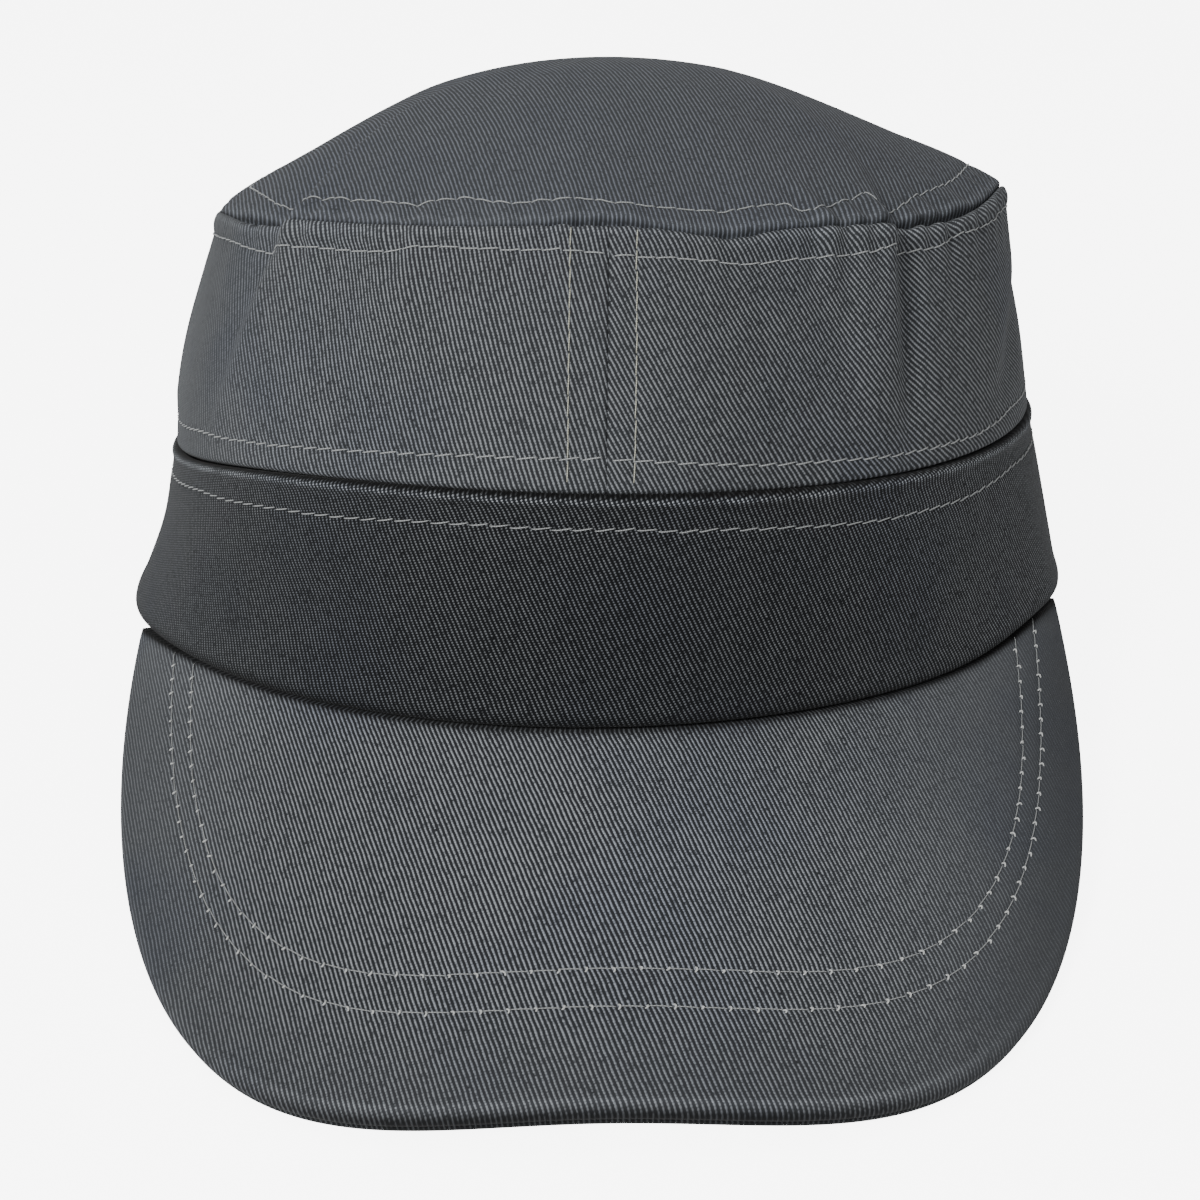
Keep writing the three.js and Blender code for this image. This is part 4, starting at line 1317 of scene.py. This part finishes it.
def twill_material(name, group, colours, s, twill):
    """Twill cloth. The weave's height mixes the valley's colour with the ridge's, and the haze drawn on
    the cloth evens them out. Broad noise tints worn patches, the painted light and shade drawn on the
    cloth brightens or darkens it, and the height also feeds the bump."""
    material = bpy.data.materials.new(name)
    material.use_nodes = True
    tree = material.node_tree
    tree.nodes.clear()
    link = tree.links.new
    out = add_node(tree, "ShaderNodeOutputMaterial", "Output")
    cloth = add_node(tree, "ShaderNodeBsdfPrincipled", "Cloth")
    link(cloth.outputs[0], out.inputs[0])
    uv = add_node(tree, "ShaderNodeUVMap", "Cloth coordinates", uv_map="cloth")
    weave = add_node(tree, "ShaderNodeGroup", "Twill", node_tree=group)
    link(uv.outputs[0], weave.inputs["Cloth"])
    weave.inputs["Pitch"].default_value = s.twill_pitch
    weave.inputs["Beading"].default_value = twill.beading
    place = add_node(tree, "ShaderNodeTexCoord", "Place")
    broad = noise(tree, "Worn patches", place.outputs["Object"], WORN_SCALE, 3.0)
    ramp = add_node(tree, "ShaderNodeMapRange", "Ridge share")
    ramp.inputs["From Min"].default_value = 0.06
    ramp.inputs["From Max"].default_value = 0.75
    link(weave.outputs["Height"], ramp.inputs["Value"])
    worn = add_node(tree, "ShaderNodeMapRange", "Worn share")
    worn.inputs["From Min"].default_value = 0.48
    worn.inputs["From Max"].default_value = 0.72
    worn.inputs["To Min"].default_value = twill.tinting
    worn.inputs["To Max"].default_value = 0.55 + 0.5 * twill.tinting
    link(broad, worn.inputs["Value"])
    tinted = add_node(tree, "ShaderNodeMix", "Tinted ridge", data_type="RGBA")
    tinted.inputs["A"].default_value = (*[c * twill.shade for c in colours.ridge], 1.0)
    tinted.inputs["B"].default_value = (*[c * twill.shade for c in colours.tint], 1.0)
    link(worn.outputs[0], tinted.inputs["Factor"])
    mix = add_node(tree, "ShaderNodeMix", "Twill colour", data_type="RGBA")
    valley = [twill.shade * (v * (1.0 - twill.haze) + r * twill.haze)
              for v, r in zip(colours.valley, colours.ridge)]
    mix.inputs["A"].default_value = (*valley, 1.0)
    haze_mark = add_node(tree, "ShaderNodeAttribute", "Haze", attribute_name="haze")
    flatter = maths(tree, "SUBTRACT", "Way to the mean", MEAN_SHARE, ramp.outputs[0])
    hazy = maths(tree, "MULTIPLY_ADD", "Hazy share", flatter, haze_mark.outputs["Fac"], ramp.outputs[0])
    link(hazy, mix.inputs["Factor"])
    link(tinted.outputs["Result"], mix.inputs["B"])
    # The painted light and shade drawn on the cloth scales its colour: painted highlights and painted shadows
    painted_light = add_node(tree, "ShaderNodeAttribute", "Painted light", attribute_name="painted_light")
    light_scale = add_node(tree, "ShaderNodeVectorMath", "Lit and shaded cloth", operation="SCALE")
    link(mix.outputs["Result"], light_scale.inputs[0])
    light_share = maths(tree, "ADD", "Light share", painted_light.outputs["Fac"], 1.0)
    link(maths(tree, "MAXIMUM", "Light share over zero", light_share, LEAST_COLOUR), light_scale.inputs["Scale"])
    link(light_scale.outputs[0], cloth.inputs["Base Color"])
    bump = add_node(tree, "ShaderNodeBump", "Weave relief")
    bump.inputs["Strength"].default_value = 0.6
    bump.inputs["Distance"].default_value = 0.00016
    link(weave.outputs["Height"], bump.inputs["Height"])
    link(bump.outputs[0], cloth.inputs["Normal"])
    cloth.inputs["Roughness"].default_value = 0.88
    cloth.inputs["Specular IOR Level"].default_value = 0.12
    cloth.inputs["Sheen Weight"].default_value = 0.03
    cloth.inputs["Sheen Roughness"].default_value = 0.5
    return material


def thread_material(name, rgb):
    """Sewing thread: a wave along and round the thread darkens the grooves of its twist."""
    material = bpy.data.materials.new(name)
    material.use_nodes = True
    tree = material.node_tree
    tree.nodes.clear()
    link = tree.links.new
    out = add_node(tree, "ShaderNodeOutputMaterial", "Output")
    thread = add_node(tree, "ShaderNodeBsdfPrincipled", "Thread")
    link(thread.outputs[0], out.inputs[0])
    uv = add_node(tree, "ShaderNodeUVMap", "Thread coordinates", uv_map="cloth")
    parts = add_node(tree, "ShaderNodeSeparateXYZ", "Round and along")
    link(uv.outputs[0], parts.inputs[0])
    turns = maths(tree, "MULTIPLY_ADD", "Twist", parts.outputs[1], 9.0, parts.outputs[0])
    mix = add_node(tree, "ShaderNodeMix", "Thread colour", data_type="RGBA")
    mix.inputs["A"].default_value = (*[0.55 * c for c in rgb], 1.0)
    mix.inputs["B"].default_value = (*rgb, 1.0)
    link(raised_cosine(tree, "Twist share", turns), mix.inputs["Factor"])
    link(mix.outputs["Result"], thread.inputs["Base Color"])
    thread.inputs["Roughness"].default_value = 0.6
    thread.inputs["Sheen Weight"].default_value = 0.2
    return material


MATERIALS = {}


def cap_materials(scene):
    """The materials, made once."""
    if not MATERIALS:
        group = twill_group()
        s, colours = scene.cap_sizes, scene.cap_colours
        for name, twill in TWILLS.items():
            MATERIALS[name] = twill_material(name + "_twill", group, colours, s, twill)
        MATERIALS["thread"] = thread_material("grey_thread", colours.thread)
        MATERIALS["pale"] = thread_material("pale_thread", colours.pale_thread)
        MATERIALS["knot"] = thread_material("knot_thread", colours.knot)
    return MATERIALS


# Operators

class CAP_OT_materials(bpy.types.Operator):
    """Make the cloth and thread materials"""

    bl_idname = "cap.materials"
    bl_label = "Materials"

    def execute(self, context):
        cap_materials(context.scene)
        return {"FINISHED"}


class CAP_OT_band(bpy.types.Operator):
    """Build the band round the head"""

    bl_idname = "cap.band"
    bl_label = "Band"

    def execute(self, context):
        build_band(context.scene.cap_sizes, cap_materials(context.scene)["band"])
        return {"FINISHED"}


class CAP_OT_side_panels(bpy.types.Operator):
    """Build the two side panels"""

    bl_idname = "cap.side_panels"
    bl_label = "Side panels"

    def execute(self, context):
        s, material = context.scene.cap_sizes, cap_materials(context.scene)["panel"]
        build_side_panel(s, "side_cloth_left", "side_panel_left", 0.0, HALF_TURN,
                         SIDE_WEAVE_LEFT, material)
        build_side_panel(s, "side_cloth_right", "side_panel_right", -HALF_TURN, 0.0,
                         SIDE_WEAVE_RIGHT, material)
        return {"FINISHED"}


class CAP_OT_crown(bpy.types.Operator):
    """Build the domed crown"""

    bl_idname = "cap.crown"
    bl_label = "Crown"

    def execute(self, context):
        build_crown(context.scene.cap_sizes, cap_materials(context.scene)["crown"])
        return {"FINISHED"}


class CAP_OT_peak(bpy.types.Operator):
    """Build the two covers of the peak"""

    bl_idname = "cap.peak"
    bl_label = "Peak"

    def execute(self, context):
        s, material = context.scene.cap_sizes, cap_materials(context.scene)["peak"]
        build_peak_cover(s, "peak_cover_upper", "peak_upper", True, material)
        build_peak_cover(s, "peak_cover_lower", "peak_lower", False, material)
        return {"FINISHED"}


class CAP_OT_stitches(bpy.types.Operator):
    """Sew the rows of stitches beside the seams and on the peak"""

    bl_idname = "cap.stitches"
    bl_label = "Stitches"

    def execute(self, context):
        s, materials = context.scene.cap_sizes, cap_materials(context.scene)
        build_seam_stitches(s, materials["thread"], materials["pale"])
        build_peak_stitches(s, materials["thread"], materials["knot"])
        return {"FINISHED"}


class CAP_OT_stage(bpy.types.Operator):
    """Set up the floor, the lights and the camera"""

    bl_idname = "cap.stage"
    bl_label = "Stage"

    def execute(self, context):
        build_floor(context.scene)
        build_lights(context.scene)
        build_camera(context.scene)
        return {"FINISHED"}


# Strengths that make floor and surround as white as the photograph's ground to the camera, and the
# strength with which the surround lights the cap
FLOOR_SEEN = 6.4
WORLD_SEEN = 7.0
WORLD_LIGHT = 0.45


def build_floor(scene):
    """A wide pale floor, just under the surface that the cap stands on."""
    half, under = 3.0, -0.2 * MM
    corners = [(-half, -half, under), (half, -half, under), (half, half, under), (-half, half, under)]
    mesh = bpy.data.meshes.new("floor")
    mesh.from_pydata(corners, [], [(0, 1, 2, 3)])
    material = bpy.data.materials.new("floor_paper")
    material.use_nodes = True
    shader = material.node_tree.nodes["Principled BSDF"]
    shader.inputs["Base Color"].default_value = (*scene.cap_colours.floor, 1.0)
    shader.inputs["Roughness"].default_value = 0.9
    shader.inputs["Emission Color"].default_value = (1.0, 1.0, 1.0, 1.0)
    brighten_for_camera(material.node_tree, shader.inputs["Emission Strength"], 0.0, FLOOR_SEEN)
    mesh.materials.append(material)
    floor = bpy.data.objects.new("floor", mesh)
    scene.collection.objects.link(floor)


# A soft light: where it stands in metres, what it is aimed at, its size and its power in watts
Lamp = namedtuple("Lamp", "name place aim width power")

LAMPS = (
    Lamp("key", (-0.8, -1.2, 0.95), (0.0, -0.02, 0.05), 0.45, 31.0),
    Lamp("fill", (0.7, -1.2, 0.8), (0.0, -0.02, 0.05), 0.9, 4.5),
    Lamp("top", (-0.3, 0.0, 1.3), (0.0, 0.0, 0.05), 0.8, 5.0),
)


def brighten_for_camera(tree, socket, least, most):
    """The most light for what the camera sees directly, and the least for what falls on the cap."""
    path = add_node(tree, "ShaderNodeLightPath", "Ray")
    seen = path.outputs["Is Camera Ray"]
    tree.links.new(maths(tree, "MULTIPLY_ADD", "Seen or lit", seen, most - least, least), socket)


def build_lights(scene):
    """Three large soft lights and an even white surround."""
    for lamp in LAMPS:
        data = bpy.data.lights.new(lamp.name, "AREA")
        data.shape = "SQUARE"
        data.size = lamp.width
        data.energy = lamp.power
        light = bpy.data.objects.new(lamp.name, data)
        light.location = lamp.place
        aim = Vector(lamp.aim) - Vector(lamp.place)
        light.rotation_euler = aim.to_track_quat("-Z", "Y").to_euler()
        scene.collection.objects.link(light)
    world = bpy.data.worlds.new("studio")
    world.use_nodes = True
    background = world.node_tree.nodes["Background"]
    background.inputs["Color"].default_value = (1.0, 1.0, 1.0, 1.0)
    brighten_for_camera(world.node_tree, background.inputs["Strength"], WORLD_LIGHT, WORLD_SEEN)
    scene.world = world


def build_camera(scene):
    """The camera circles a point over the rim in the cap's own frame, looks a little below it, rolls,
    and is then carried to the table with the cap."""
    studio = scene.cap_studio
    target = Vector((0.0, 0.0, studio.target_height))
    out = Vector((
        math.sin(studio.azimuth) * math.cos(studio.elevation),
        -math.cos(studio.azimuth) * math.cos(studio.elevation),
        math.sin(studio.elevation),
    ))
    ahead = -out
    right = ahead.cross(Vector((0.0, 0.0, 1.0))).normalized()
    up = right.cross(ahead)
    looking = ahead * math.cos(studio.pitch) + up * math.sin(studio.pitch)
    up = up * math.cos(studio.pitch) - ahead * math.sin(studio.pitch)
    ahead = looking * math.cos(studio.yaw) + right * math.sin(studio.yaw)
    right = right * math.cos(studio.yaw) - looking * math.sin(studio.yaw)
    rolled_right = right * math.cos(studio.roll) + up * math.sin(studio.roll)
    rolled_up = up * math.cos(studio.roll) - right * math.sin(studio.roll)
    pose = Matrix((rolled_right, rolled_up, -ahead)).transposed().to_4x4()
    pose.translation = target + out * studio.distance
    data = bpy.data.cameras.new("camera")
    data.sensor_width = 36.0
    data.lens = studio.lens
    data.clip_start = 0.01
    camera = bpy.data.objects.new("camera", data)
    camera.matrix_world = standing(scene.cap_sizes) @ pose
    scene.collection.objects.link(camera)
    scene.camera = camera


class CAP_PT_panel(bpy.types.Panel):
    """The cap's pieces in the sidebar"""

    bl_idname = "CAP_PT_panel"
    bl_label = "Patrol cap"
    bl_space_type = "VIEW_3D"
    bl_region_type = "UI"
    bl_category = "Cap"

    def draw(self, context):
        for operator in OPERATORS:
            self.layout.operator(operator.bl_idname)


OPERATORS = (
    CAP_OT_materials,
    CAP_OT_band,
    CAP_OT_side_panels,
    CAP_OT_crown,
    CAP_OT_peak,
    CAP_OT_stitches,
    CAP_OT_stage,
)
CLASSES = (CapSizes, CapColours, CapStudio) + OPERATORS + (CAP_PT_panel,)


def register():
    for cls in CLASSES:
        bpy.utils.register_class(cls)
    bpy.types.Scene.cap_sizes = PointerProperty(type=CapSizes)
    bpy.types.Scene.cap_colours = PointerProperty(type=CapColours)
    bpy.types.Scene.cap_studio = PointerProperty(type=CapStudio)


def unregister():
    del bpy.types.Scene.cap_studio
    del bpy.types.Scene.cap_colours
    del bpy.types.Scene.cap_sizes
    for cls in reversed(CLASSES):
        bpy.utils.unregister_class(cls)


def main():
    register()
    bpy.ops.cap.materials()
    bpy.ops.cap.band()
    bpy.ops.cap.side_panels()
    bpy.ops.cap.crown()
    bpy.ops.cap.peak()
    bpy.ops.cap.stitches()
    bpy.ops.cap.stage()


if __name__ == "__main__":
    main()
